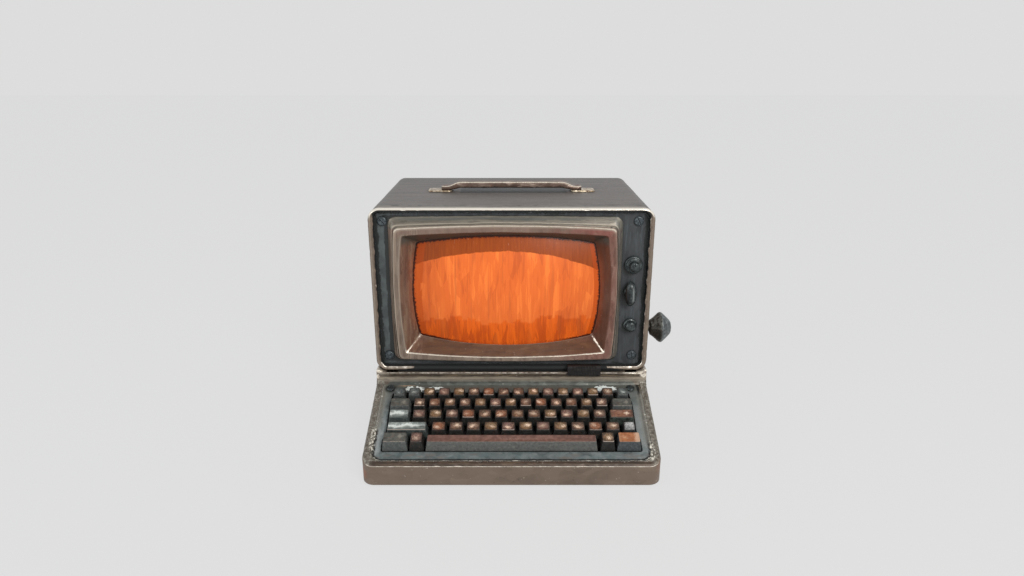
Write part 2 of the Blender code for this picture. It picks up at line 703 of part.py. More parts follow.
ROW_MIDDLE = tuple(s + (REAR_TAPER - FRONT_TAPER) / 2 for s in ROW_S)   # middle of each row's foot
plate = solid(
    "switch_plate", block(-146.0, 146.0, -115.5, -12.0, PLATE_N - PLATE_T, PLATE_N), STEEL, parent=KEYBOARD,
)
BOARD_STANDS = ((-120.0, -36.4), (120.0, -36.4), (-120.0, -89.8), (120.0, -89.8))
join(plate, solid("plate_stands", several(
    [block(x - 3, x + 3, s - 2.4, s + 2.4, BOARD_N + 0.3, PLATE_N - 1) for x, s in BOARD_STANDS]),
    None, parent=KEYBOARD))
cut(plate, solid("plate_slots", several(
    [block(-142.0, 142.0, s - SLOT_D / 2, s + SLOT_D / 2, PLATE_N - 5, PLATE_N + 3) for s in ROW_MIDDLE]),
    None, parent=KEYBOARD))
solid("keyboard_board", block(-140.0, 140.0, -108.0, -20.0, BOARD_N - 1.6, BOARD_N), BOARD, parent=KEYBOARD)


# ---------------------------------------------------------------- keys
def key_cap(left, right, row):
    """Tapered cap; left and right are the edges of its top."""
    s = ROW_S[row]
    foot = [(left - SIDE_TAPER, s - TOP_HALF_D - FRONT_TAPER), (right + SIDE_TAPER, s - TOP_HALF_D - FRONT_TAPER),
            (right + SIDE_TAPER, s + TOP_HALF_D + REAR_TAPER), (left - SIDE_TAPER, s + TOP_HALF_D + REAR_TAPER)]
    crown = [(left, s - TOP_HALF_D), (right, s - TOP_HALF_D), (right, s + TOP_HALF_D), (left, s + TOP_HALF_D)]
    return loft([ring_z(foot, KEY_BOTTOM), ring_z(crown, KEY_TOP)])


def stem(x0, x1, row):
    s = ROW_MIDDLE[row]
    return block(x0, x1, s - STEM_D / 2, s + STEM_D / 2, STEM_BOTTOM, KEY_BOTTOM + 1.3)


for row, (first, pitch, count) in enumerate(ROW_KEYS):
    half = (pitch - KEY_SIDE_GAP) / 2 - SIDE_TAPER
    last = first + pitch * (count - 1)
    at = ((first + last) / 2, ROW_S[row], 0.0)
    carrier = solid("keys_row_%d" % (row + 1), stem(first - 5.0, last + 5.0, row), KEY_BROWN, at=at, parent=KEYBOARD)
    caps = [key_cap(first + pitch * k - half, first + pitch * k + half, row) for k in range(count)]
    join(carrier, solid("caps_row_%d" % (row + 1), several(caps), None, parent=KEYBOARD))

KEY_COLOURS = {
    "key_enter": KEY_BROWN, "key_left_function": KEY_BROWN, "key_right_function": KEY_BROWN,
    "space_bar": KEY_BROWN, "key_break": KEY_ORANGE,
}
for name, row, left, right in ODD_KEYS:
    middle = (left + right) / 2
    key = solid(name, key_cap(left, right, row), KEY_COLOURS.get(name, KEY_GREY),
                at=(middle, ROW_S[row], 0.0), parent=KEYBOARD)
    reach = 60.0 if name == "space_bar" else 3.0
    join(key, solid(name + "_stem", stem(middle - reach, middle + reach, row), None, parent=KEYBOARD))

# ---------------------------------------------------------------- carrying handle
for label, side in (("left", -1), ("right", 1)):
    x0, x1 = sorted((side * 76.5, side * 106.5))
    end_plate = solid(
        "handle_plate_" + label,
        loft([ring_z(rounded(x0, x1, HANDLE_Y - 11, HANDLE_Y + 11, 4.0, corner=3), z)
              for z in (CASE_Z1 + 0.3, CASE_Z1 + 1.8)]),
        BRIGHT,
    )
    cut(end_plate, solid("handle_hole_" + label, rod("z", (side * SHANK_X, HANDLE_Y), 282, 290, SHANK_R + GAP), None))

GRIP_Z = CASE_Z1 + HANDLE_TOP - HANDLE_T / 2
FOOT_Z = CASE_Z1 + 2.1 + 2.5


def strap_ring(x, z, thick, lean):
    """Section of the strap: flat, with round long edges, leaning with its path."""
    ring = []
    for a, b in rounded(-HANDLE_W / 2, HANDLE_W / 2, -thick / 2, thick / 2, thick / 2 - 0.4, corner=2):
        ring.append((x - b * math.sin(lean), HANDLE_Y + a, z + b * math.cos(lean)))
    return ring


lean = math.atan2(GRIP_Z - FOOT_Z, 15.0)
stations = [(-89.5, FOOT_Z, 4.2, 0), (-88.0, FOOT_Z, 5.0, 0), (-80.5, FOOT_Z, 5.0, lean / 2), (-65.5, GRIP_Z, HANDLE_T, lean / 2)]
stations += [(-x, z, t, -a) for x, z, t, a in reversed(stations)]
handle = solid(
    "carrying_handle", loft([strap_ring(*s) for s in stations]), BRIGHT, at=(0, HANDLE_Y, FOOT_Z), smooth=True,
)
COLLAR_TOP = CASE_Z1 - WALL - 0.4 - HANDLE_LIFT
join(handle, solid("handle_shanks", several([
    loft(turned([(COLLAR_TOP - 3.0, 6.5), (COLLAR_TOP, 6.5), (COLLAR_TOP, SHANK_R), (FOOT_Z, SHANK_R)],
                "z", (s * SHANK_X, HANDLE_Y), 12))
    for s in (-1, 1)]), None))

# ---------------------------------------------------------------- controls
solid(
    "brightness_knob",
    loft(turned([(-6.2, 4.8), (-5.2, 6.0), (0.6, 6.3), (0.9, 8.8), (2.8, 9.2), (3.6, 10.7), (7.6, 10.7),
                 (7.6, SHAFT_R), (20.0, SHAFT_R)], "y", (DIAL_X, DIAL_Z), 18)),
    KNOB, at=(DIAL_X, PANEL_Y, DIAL_Z), smooth=True,
)
selector = solid(
    "selector_knob",
    loft(turned([(1.8, 7.4), (3.4, 9.4), (7.6, 10.0), (7.6, SHAFT_R), (20.0, SHAFT_R)],
                "y", (SELECTOR_X, SELECTOR_Z), 16)),
    KNOB, at=(SELECTOR_X, PANEL_Y, SELECTOR_Z), smooth=True,
)
WING = 14.2
wing_side = [(0.6, -WING), (2.6, -WING + 3.0), (2.6, WING - 3.0), (0.6, WING), (-3.6, WING - 1.2),
             (-7.4, WING - 6.0), (-7.4, -WING + 6.0), (-3.6, -WING + 1.2)]
join(selector, solid("selector_wing", loft([
    [(SELECTOR_X + x, y, SELECTOR_Z + z) for y, z in wing_side] for x in (-3.0, 3.0)]), None))
solid(
    "contrast_knob",
    loft(turned([(-2.6, 4.8), (-1.4, 6.6), (4.0, 7.0), (4.6, 8.4), (7.6, 8.4), (7.6, SHAFT_R), (20.0, SHAFT_R)],
                "y", (TRIM_X, TRIM_Z), 14)),
    KNOB, at=(TRIM_X, PANEL_Y, TRIM_Z), smooth=True,
)
for name, x, z, r in (("brightness_control", DIAL_X, DIAL_Z, 9.0), ("selector_switch", SELECTOR_X, SELECTOR_Z, 9.0),
                      ("contrast_control", TRIM_X, TRIM_Z, 8.0)):
    body = solid(name, rod("y", (x, z), 10.3, 23.0, r, 14), STEEL)
    cut(body, solid(name + "_bore", rod("y", (x, z), 9.0, 20.6, SHAFT_R + 0.3), None))

solid(
    "side_knob",
    loft(turned([(148.0, SHAFT_R), (165.6, SHAFT_R), (165.6, 5.0), (171.4, 5.0), (172.6, 9.5), (185.0, 19.1),
                 (196.6, 9.2), (198.0, 6.2), (SIDE_KNOB_END, 3.0)], "x", (SIDE_Y, SIDE_Z), 16)),
    KNOB, at=(HALF_W, SIDE_Y, SIDE_Z), smooth=True,
)
side_control = solid("side_control", rod("x", (SIDE_Y, SIDE_Z), 145.0, 161.7, 9.0, 14), STEEL)
cut(side_control, solid("side_control_bore", rod("x", (SIDE_Y, SIDE_Z), 147.4, 163.0, SHAFT_R + 0.3), None))

# ---------------------------------------------------------------- latch between case and base
# It slides along a groove in the case's lower rim, and its foot hangs in front
# of the base's riser.
latch_side = [(-8.6, 79.6), (-4.9, 79.6), (-4.9, 82.9), (-0.4, 82.9), (-0.4, 92.8), (-7.6, 92.8), (-8.6, 91.8)]
latch = solid(
    "case_latch",
    loft([[(x, y, z) for y, z in latch_side] for x in (LATCH_X - 20, LATCH_X + 20)]),
    KNOB, at=(LATCH_X, 0.0, 85.6),
)
join(latch, solid("latch_tongue", block(LATCH_X - 12, LATCH_X + 12, -3.0, 5.6, 84.4, 86.8), None))
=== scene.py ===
"""Portable computer terminal: fine shapes, finishes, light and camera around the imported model.

Lengths are millimetres in the terminal's working frame (x = 0 on the case's
centre line, y = 0 on the front rim, z = 0 under the base) and become metres
when a mesh is made.
"""

import math
import random

import bmesh
import bpy
import numpy as np
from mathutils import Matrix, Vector, noise


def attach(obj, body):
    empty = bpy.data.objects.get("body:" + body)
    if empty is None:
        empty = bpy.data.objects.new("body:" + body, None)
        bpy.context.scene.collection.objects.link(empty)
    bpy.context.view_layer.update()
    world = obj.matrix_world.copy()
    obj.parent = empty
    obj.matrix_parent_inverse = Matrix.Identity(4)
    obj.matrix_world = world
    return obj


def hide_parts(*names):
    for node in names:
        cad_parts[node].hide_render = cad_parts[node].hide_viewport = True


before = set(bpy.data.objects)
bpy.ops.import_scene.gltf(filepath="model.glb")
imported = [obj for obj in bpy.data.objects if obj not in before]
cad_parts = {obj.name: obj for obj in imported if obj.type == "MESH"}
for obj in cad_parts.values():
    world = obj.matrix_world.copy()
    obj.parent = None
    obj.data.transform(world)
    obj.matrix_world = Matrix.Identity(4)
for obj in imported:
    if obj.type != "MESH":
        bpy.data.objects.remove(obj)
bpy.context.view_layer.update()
BODY = "terminal"
OFF = np.array((-16.75, -50.0, 3.0))

HALF_W = 165.0
CASE_Z0, CASE_Z1, CASE_BACK, CASE_R = 82.6, 284.5, 219.0, 14.0
SCREEN_X, SCREEN_Z = -5.75, 180.0
BASE_FRONT, RISER_Y, LEDGE_Z = -119.0, -4.5, 82.3
SLOPE_TAN, SLOPE_Z = 0.386, 71.43
SLOPE = math.atan(SLOPE_TAN)
ST, CT = math.sin(SLOPE), math.cos(SLOPE)


# ================================================================ numbers
def slope(x, s, n):
    """Point in the keyboard's frame (x, up the slope, out of it) in the body frame."""
    return (x, s * CT - n * ST, SLOPE_Z + s * ST + n * CT)


def fbm(points, size, octaves=3, seed=0.0):
    """Fractal noise in about -1 to 1, with features of `size` mm."""
    if np.ndim(size) == 0:
        size = (size, size, size)
    shift = (13.7 * seed, -7.9 * seed, 5.3 * seed)
    pts = np.asarray(points, float).reshape(-1, 3) / np.array(size, float) + np.array(shift)
    return np.array([noise.fractal(Vector(p), 1.0, 2.0, octaves, noise_basis="PERLIN_ORIGINAL") for p in pts])


def step(x, lo, hi):
    t = np.clip((np.asarray(x, float) - lo) / (hi - lo), 0.0, 1.0)
    return t * t * (3 - 2 * t)


def srgb(r, g, b):
    return tuple((c / 255 / 12.92) if c <= 10.3 else ((c / 255 + 0.055) / 1.055) ** 2.4 for c in (r, g, b)) + (1.0,)


# ================================================================ meshes
def grid_faces(rows, cols, wrap_rows=False, wrap_cols=False):
    r = np.arange(rows if wrap_rows else rows - 1)
    c = np.arange(cols if wrap_cols else cols - 1)
    rr, cc = np.meshgrid(r, c, indexing="ij")
    r2, c2 = (rr + 1) % rows, (cc + 1) % cols
    return np.stack([rr * cols + cc, rr * cols + c2, r2 * cols + c2, r2 * cols + cc], -1).reshape(-1, 4).tolist()


def make(name, verts, faces, material, body=BODY, stands_for=(), slot=None, attrs=None, sharp=32.0, inside=None, closed=True):
    """A piece from body-frame points in mm. `inside` is a point behind an open skin."""
    co = (np.asarray(verts, float).reshape(-1, 3) + OFF) / 1000.0
    mesh = bpy.data.meshes.new(name)
    mesh.from_pydata(co.tolist(), [], faces)
    mesh.validate()
    for key, values in (attrs or {}).items():
        layer = mesh.attributes.new(key, "FLOAT", "POINT")
        layer.data.foreach_set("value", np.asarray(values, np.float32).reshape(-1))
    bm = bmesh.new()
    bm.from_mesh(mesh)
    if closed:
        bmesh.ops.recalc_face_normals(bm, faces=bm.faces)
    elif inside is not None:
        centre = Vector(((np.array(inside, float) + OFF) / 1000.0).tolist())
        total = sum((f.calc_center_median() - centre).dot(f.normal) * f.calc_area() for f in bm.faces)
        if total < 0:
            bmesh.ops.reverse_faces(bm, faces=bm.faces)
    bm.to_mesh(mesh)
    bm.free()
    mesh.shade_smooth()
    mesh.set_sharp_from_angle(angle=math.radians(sharp))
    obj = bpy.data.objects.new(name, mesh)
    bpy.context.scene.collection.objects.link(obj)
    mesh.materials.append(material)
    if body:
        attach(obj, body)
    if stands_for:
        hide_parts(*stands_for)
    return obj


def carve(obj, cutters):
    """Cuts closed meshes, given in body mm, out of obj and keeps the result."""
    made = []
    for verts, faces in cutters:
        co = (np.asarray(verts, float).reshape(-1, 3) + OFF) / 1000.0
        mesh = bpy.data.meshes.new("cutter")
        mesh.from_pydata(co.tolist(), [], faces)
        bm = bmesh.new()
        bm.from_mesh(mesh)
        bmesh.ops.recalc_face_normals(bm, faces=bm.faces)
        bm.to_mesh(mesh)
        bm.free()
        tool = bpy.data.objects.new("cutter", mesh)
        bpy.context.scene.collection.objects.link(tool)
        made.append(tool)
        mod = obj.modifiers.new("cut", "BOOLEAN")
        mod.operation = "DIFFERENCE"
        mod.solver = "EXACT"
        mod.object = tool
    bpy.context.view_layer.update()
    graph = bpy.context.evaluated_depsgraph_get()
    fresh = bpy.data.meshes.new_from_object(obj.evaluated_get(graph))
    obj.modifiers.clear()
    old = obj.data
    obj.data = fresh
    fresh.name = old.name + "_cut"
    bpy.data.meshes.remove(old)
    fresh.set_sharp_from_angle(angle=math.radians(32.0))
    for tool in made:
        mesh = tool.data
        bpy.data.objects.remove(tool)
        bpy.data.meshes.remove(mesh)


def box_mesh(x0, x1, y0, y1, z0, z1):
    v = [(x, y, z) for z in (z0, z1) for y in (y0, y1) for x in (x0, x1)]
    f = [(0, 2, 3, 1), (4, 5, 7, 6), (0, 1, 5, 4), (2, 6, 7, 3), (0, 4, 6, 2), (1, 3, 7, 5)]
    return v, f


def merge(parts):
    """One point list, face list and attribute set from several (verts, faces, attrs)."""
    verts, faces, attrs = [], [], {}
    count = 0
    for part in parts:
        v, f = np.asarray(part[0], float).reshape(-1, 3), part[1]
        a = part[2] if len(part) > 2 else {}
        verts.append(v)
        faces += [tuple(count + i for i in face) for face in f]
        for key in a:
            attrs.setdefault(key, [np.zeros(count)])
        for key, chunks in attrs.items():
            chunks.append(np.asarray(a.get(key, np.zeros(len(v))), float).reshape(-1))
        count += len(v)
    return np.concatenate(verts), faces, {k: np.concatenate(c) for k, c in attrs.items()}


def rounded_rect(x0, x1, z0, z1, r, gap, corner):
    """Outline points with outward normals; straight runs are divided every `gap` mm."""
    pts, nrm = [], []
    spots = ((x1 - r, z0 + r, -90), (x1 - r, z1 - r, 0), (x0 + r, z1 - r, 90), (x0 + r, z0 + r, 180))
    for i, (cx, cz, start) in enumerate(spots):
        for k in range(corner + 1):
            a = math.radians(start + 90 * k / corner)
            pts.append((cx + r * math.cos(a), cz + r * math.sin(a)))
            nrm.append((math.cos(a), math.sin(a)))
        nx, nz, ns = spots[(i + 1) % 4]
        end = (nx + r * math.cos(math.radians(ns)), nz + r * math.sin(math.radians(ns)))
        last = pts[-1]
        length = math.dist(last, end)
        parts = max(1, int(round(length / gap)))
        for k in range(1, parts):
            t = k / parts
            pts.append((last[0] + (end[0] - last[0]) * t, last[1] + (end[1] - last[1]) * t))
            nrm.append(nrm[-1])
    return np.array(pts), np.array(nrm)


def revolve(profile, axis, centre, seg=48, swell=None):
    """Turned skin from (station, radius) pairs; swell(angle, index) scales the radius."""
    rows = []
    for i, (station, radius) in enumerate(profile):
        row = []
        for k in range(seg):
            a = 2 * math.pi * (k + 0.5) / seg
            r = radius * (swell(a, i) if swell else 1.0)
            c, s = r * math.cos(a), r * math.sin(a)
            if axis == "x":
                row.append((station, centre[0] + c, centre[1] + s))
            elif axis == "y":
                row.append((centre[0] + c, station, centre[1] + s))
            else:
                row.append((centre[0] + c, centre[1] + s, station))
        rows.append(row)
    verts = np.array(rows).reshape(-1, 3)
    faces = grid_faces(len(rows), seg, wrap_cols=True)
    faces.append(list(range(seg))[::-1])
    faces.append([(len(rows) - 1) * seg + k for k in range(seg)])
    return verts, faces


# ================================================================ node building
class Paint:
    """Small helper that strings shader nodes together."""

    def __init__(self, name):
        self.material = bpy.data.materials.new(name)
        self.material.use_nodes = True
        self.tree = self.material.node_tree
        self.tree.nodes.clear()
        self.shader = self.node("ShaderNodeBsdfPrincipled")
        self.output = self.node("ShaderNodeOutputMaterial")
        self.link(self.shader.outputs[0], self.output.inputs["Surface"])
        self._place = None

    def node(self, kind, **values):
        made = self.tree.nodes.new(kind)
        for key, value in values.items():
            setattr(made, key, value)
        return made

    def link(self, a, b):
        self.tree.links.new(a, b)

    def feed(self, socket, value):
        if isinstance(value, bpy.types.NodeSocket):
            self.link(value, socket)
        else:
            socket.default_value = value

    def math(self, op, a, b=0.0, c=0.0, clamp=False):
        n = self.node("ShaderNodeMath", operation=op, use_clamp=clamp)
        for socket, value in zip(n.inputs, (a, b, c)):
            self.feed(socket, value)
        return n.outputs[0]

    def add(self, a, b): return self.math("ADD", a, b)
    def sub(self, a, b): return self.math("SUBTRACT", a, b)
    def mul(self, a, b): return self.math("MULTIPLY", a, b)
    def max(self, a, b): return self.math("MAXIMUM", a, b)
    def min(self, a, b): return self.math("MINIMUM", a, b)
    def abs(self, a): return self.math("ABSOLUTE", a)

    def vec(self, op, a, b=(0, 0, 0)):
        n = self.node("ShaderNodeVectorMath", operation=op)
        self.feed(n.inputs[0], a)
        self.feed(n.inputs[1], b)
        return n.outputs["Value"] if op in ("DOT_PRODUCT", "LENGTH", "DISTANCE") else n.outputs[0]

    def place(self):
        """Position in the body frame, in mm."""
        if self._place is None:
            coords = self.node("ShaderNodeTexCoord").outputs["Object"]
            scaled = self.vec("MULTIPLY", coords, (1000.0, 1000.0, 1000.0))
            self._place = self.vec("SUBTRACT", scaled, tuple(OFF))
        return self._place

    def axes(self, v=None):
        n = self.node("ShaderNodeSeparateXYZ")
        self.link(v if v is not None else self.place(), n.inputs[0])
        return n.outputs[0], n.outputs[1], n.outputs[2]

    def slope_axes(self):
        """(x, up the keyboard slope, out of it)."""
        moved = self.vec("SUBTRACT", self.place(), (0.0, 0.0, SLOPE_Z))
        return (self.axes()[0], self.vec("DOT_PRODUCT", moved, (0.0, CT, ST)),
                self.vec("DOT_PRODUCT", moved, (0.0, -ST, CT)))

    def normal(self):
        return self.node("ShaderNodeNewGeometry").outputs["Normal"]

    def facing(self, direction):
        return self.vec("DOT_PRODUCT", self.normal(), direction)

    def sized(self, size, v=None):
        if not isinstance(size, tuple):
            size = (size, size, size)
        return self.vec("DIVIDE", v if v is not None else self.place(), size)

    def noise(self, size, detail=3.0, rough=0.55, distort=0.0, v=None, shift=0.0):
        n = self.node("ShaderNodeTexNoise")
        at = self.sized(size, v)
        if shift:
            at = self.vec("ADD", at, (shift, -shift * 0.7, shift * 1.3))
        self.link(at, n.inputs["Vector"])
        n.inputs["Scale"].default_value = 1.0
        n.inputs["Detail"].default_value = detail
        n.inputs["Roughness"].default_value = rough
        n.inputs["Distortion"].default_value = distort
        return n.outputs[0]

    def wobble(self, size, amount, detail=2.0, v=None):
        """Position pushed about by noise."""
        n = self.node("ShaderNodeTexNoise")
        self.link(self.sized(size, v), n.inputs["Vector"])
        n.inputs["Scale"].default_value = 1.0
        n.inputs["Detail"].default_value = detail
        centred = self.vec("SUBTRACT", n.outputs["Color"], (0.5, 0.5, 0.5))
        return self.vec("ADD", v if v is not None else self.place(),
                        self.vec("MULTIPLY", centred, (2 * amount, 2 * amount, 2 * amount)))

    def daubs(self, size, wobble=2.0, seed=0.0):
        """One random number per stroke-like cell."""
        n = self.node("ShaderNodeTexVoronoi")
        at = self.sized(size, self.wobble(7.0, wobble))
        if seed:
            at = self.vec("ADD", at, (seed, seed * 1.7, -seed))
        self.link(at, n.inputs["Vector"])
        n.inputs["Scale"].default_value = 1.0
        split = self.node("ShaderNodeSeparateColor")
        self.link(n.outputs["Color"], split.inputs[0])
        return split.outputs[0]

    def specks(self, size, radius, seed=0.0):
        """1 inside small round cells."""
        n = self.node("ShaderNodeTexVoronoi")
        at = self.sized(size, self.wobble(2.0, 0.8))
        if seed:
            at = self.vec("ADD", at, (seed, -seed, seed * 2.1))
        self.link(at, n.inputs["Vector"])
        n.inputs["Scale"].default_value = 1.0
        return self.band(n.outputs["Distance"], radius, radius * 0.6)

    def band(self, value, lo, hi, to=(0.0, 1.0)):
        """Smooth step from lo to hi; lo may lie above hi."""
        n = self.node("ShaderNodeMapRange", interpolation_type="SMOOTHSTEP", clamp=True)
        self.feed(n.inputs["Value"], value)
        if lo <= hi:
            numbers = (lo, hi, to[0], to[1])
        else:
            numbers = (hi, lo, to[1], to[0])
        for key, number in zip(("From Min", "From Max", "To Min", "To Max"), numbers):
            n.inputs[key].default_value = number
        return n.outputs[0]

    def mix(self, fac, a, b, blend="MIX"):
        n = self.node("ShaderNodeMix", data_type="RGBA", blend_type=blend, clamp_factor=True)
        self.feed(n.inputs[0], fac)
        self.feed(n.inputs[6], a)
        self.feed(n.inputs[7], b)
        return n.outputs[2]

    def lerp(self, fac, a, b):
        n = self.node("ShaderNodeMix", data_type="FLOAT", clamp_factor=True)
        self.feed(n.inputs[0], fac)
        self.feed(n.inputs[2], a)
        self.feed(n.inputs[3], b)
        return n.outputs[0]

    def attr(self, name):
        return self.node("ShaderNodeAttribute", attribute_name=name).outputs["Fac"]

    def edge(self, radius, samples=4):
        """0 on flats to 1 on tight edges of any kind, over about radius mm."""
        bevel = self.node("ShaderNodeBevel", samples=samples)
        bevel.inputs["Radius"].default_value = radius / 1000.0
        turned = self.vec("DOT_PRODUCT", bevel.outputs[0], self.normal())
        return self.band(self.sub(1.0, turned), 0.015, 0.16)

    def crevice(self, distance, samples=6, local=False):
        """0 in the open to 1 deep in a gap."""
        ao = self.node("ShaderNodeAmbientOcclusion", samples=samples, only_local=local)
        ao.inputs["Distance"].default_value = distance / 1000.0
        return self.sub(1.0, ao.outputs["AO"])

    def spot(self, centre, radii, soft=0.5, wobble=1.5):
        """1 inside a ragged ellipsoid."""
        at = self.vec("DIVIDE", self.vec("SUBTRACT", self.wobble(3.5, wobble), centre), radii)
        return self.band(self.vec("LENGTH", at), 1.0, 1.0 - soft)

    def bump(self, height, strength=0.3, distance=0.4):
        n = self.node("ShaderNodeBump")
        n.inputs["Strength"].default_value = strength
        n.inputs["Distance"].default_value = distance / 1000.0
        self.link(height, n.inputs["Height"])
        self.link(n.outputs[0], self.shader.inputs["Normal"])

    def finish(self, colour, rough, metal=0.0, specular=0.5):
        self.feed(self.shader.inputs["Base Color"], colour)
        self.feed(self.shader.inputs["Roughness"], rough)
        self.feed(self.shader.inputs["Metallic"], metal)
        self.shader.inputs["Specular IOR Level"].default_value = specular
        return self.material


def tones(p, low, mid, high, size, seed=0.0, contrast=1.0):
    """Brushed colour: soft noise between three tones with stroke-like daubs over it."""
    soft = p.noise(size, 4.0, 0.6, 0.4, shift=seed)
    strokes = p.daubs(tuple(0.55 * s for s in size), 2.2, seed + 3.0)
    mixed = p.add(p.mul(p.sub(soft, 0.5), 1.5 * contrast), p.mul(p.sub(strokes, 0.5), 0.5 * contrast))
    colour = p.mix(p.band(mixed, -0.32, 0.02), low, mid)
    return p.mix(p.band(mixed, 0.02, 0.36), colour, high), mixed


def worn(name, low, mid, high, size, edge=srgb(226, 212, 196), dark=srgb(22, 25, 26), rough=0.42, metal=0.45,
         edge_mm=0.9, edge_amount=0.75, gap_mm=3.0, gap_amount=0.9, chips=0.5, extra=None, bump=0.25, seed=0.0,
         contrast=1.0, wear_metal=0.7, pale=srgb(186, 174, 158), blotch=0.28, gain=1.0):
    """Painted or uncoated metal with edges lightened as worn edges and as painted highlight, and crevices darkened as
    painted shade and soiling.
    Meshes may carry attributes that place the light lines, worn edges and painted highlight, and the dark lines,
    painted shade and soiling."""
    p = Paint(name)
    colour, mixed = tones(p, low, mid, high, size, seed, contrast)
    large = p.noise(46.0, 2.0, 0.5, shift=seed + 9.0)
    colour = p.mix(p.band(large, 0.38, 0.68, (0.0, blotch)), colour, low)
    if extra:
        colour = extra(p, colour)
    fine = p.noise((2.6, 2.6, 2.6), 3.0, 0.65, 0.3, shift=seed + 1.0)
    broken = p.noise((9.0, 9.0, 9.0), 2.0, 0.6, shift=seed + 5.0)
    ragged = p.add(p.mul(p.sub(fine, 0.5), 0.9), p.mul(p.sub(broken, 0.5), 1.1))
    # light specks and dark pits
    light = p.mul(p.specks((4.2, 4.2, 4.2), 0.20, seed), p.band(broken, 0.52, 0.62))
    pits = p.mul(p.specks((5.5, 5.5, 5.5), 0.17, seed + 11.0), p.band(broken, 0.5, 0.42))
    colour = p.mix(p.mul(light, chips * 0.7), colour, edge)
    colour = p.mix(p.mul(pits, chips), colour, dark)
    # smooth pale areas the mesh marks: worn paint, and painted highlight on lit tops and corners; they also hold back
    # the painted shade there
    soft_pale = p.attr("pale")
    colour = p.mix(p.mul(soft_pale, p.band(fine, 0.2, 0.5, (0.8, 1.0))), colour, pale)
    # edges: found in the shape, and where the mesh says; lightened as worn edges and as painted highlight
    found = p.band(p.add(p.edge(edge_mm), p.mul(ragged, 0.7)), 0.55, 0.95)
    said = p.band(p.add(p.attr("wear_and_highlight"), p.mul(ragged, 0.55)), 0.42, 0.72)
    gap = p.crevice(gap_mm)
    open_air = p.band(gap, 0.55, 0.3)
    rub_and_highlight = p.max(p.mul(p.mul(found, edge_amount), open_air), said)
    colour = p.mix(rub_and_highlight, colour, edge)
    # painted shade and soiling in the gaps, and where the mesh says
    shade_and_dirt = p.band(p.add(gap, p.mul(ragged, 0.35)), 0.42, 0.72)
    shade_and_dirt = p.mul(shade_and_dirt, p.sub(gap_amount, p.mul(soft_pale, gap_amount * 0.85)))
    shade_and_dirt = p.max(shade_and_dirt, p.band(p.add(p.attr("grime_and_shade"), p.mul(ragged, 0.55)), 0.42, 0.62))
    colour = p.mix(shade_and_dirt, colour, dark)
    if gain != 1.0:
        colour = p.vec("MULTIPLY", colour, (gain, gain, gain))
    roughness = p.add(p.lerp(rub_and_highlight, rough, rough * 0.72), p.mul(p.sub(fine, 0.5), 0.22))
    roughness = p.lerp(shade_and_dirt, roughness, 0.85)
    shine = p.mul(p.lerp(rub_and_highlight, metal, wear_metal), p.sub(1.0, p.mul(shade_and_dirt, 0.8)))
    height = p.add(p.add(p.mul(mixed, 0.5), p.mul(fine, 0.35)), p.sub(p.mul(light, 0.3), p.mul(pits, 0.8)))
    p.bump(p.sub(height, p.mul(rub_and_highlight, 0.25)), bump, 0.35)
    return p.finish(colour, roughness, shine)


# ================================================================ materials
CREAM = srgb(226, 211, 192)
BLACK = srgb(24, 26, 26)
TRAY_X, TRAY_S0, TRAY_S1, TRAY_R = 153.8, -120.4, -3.6, 11.0


def tray_distance(p):
    """Distance outside (+) or inside (-) the painted round-cornered tray, in mm, on the keyboard slope."""
    x, s, n = p.slope_axes()
    qx = p.sub(p.abs(x), TRAY_X - TRAY_R)
    qs = p.sub(p.abs(p.sub(s, (TRAY_S0 + TRAY_S1) / 2)), (TRAY_S1 - TRAY_S0) / 2 - TRAY_R)
    px, ps = p.max(qx, 0.0), p.max(qs, 0.0)
    outside = p.math("SQRT", p.add(p.mul(px, px), p.mul(ps, ps)))
    return p.sub(p.add(outside, p.min(p.max(qx, qs), 0.0)), TRAY_R)


def calm_sides(p):
    """One along the tray's sides behind the front quarter, where the edge is worn smooth."""
    x, s, n = p.slope_axes()
    left = p.mul(p.band(x, -138.0, -146.0), p.band(s, -84.0, -70.0))
    right = p.mul(p.mul(p.band(x, 138.0, 146.0), p.band(s, -104.0, -90.0)), p.band(s, -18.0, -26.0))
    return p.max(left, right)


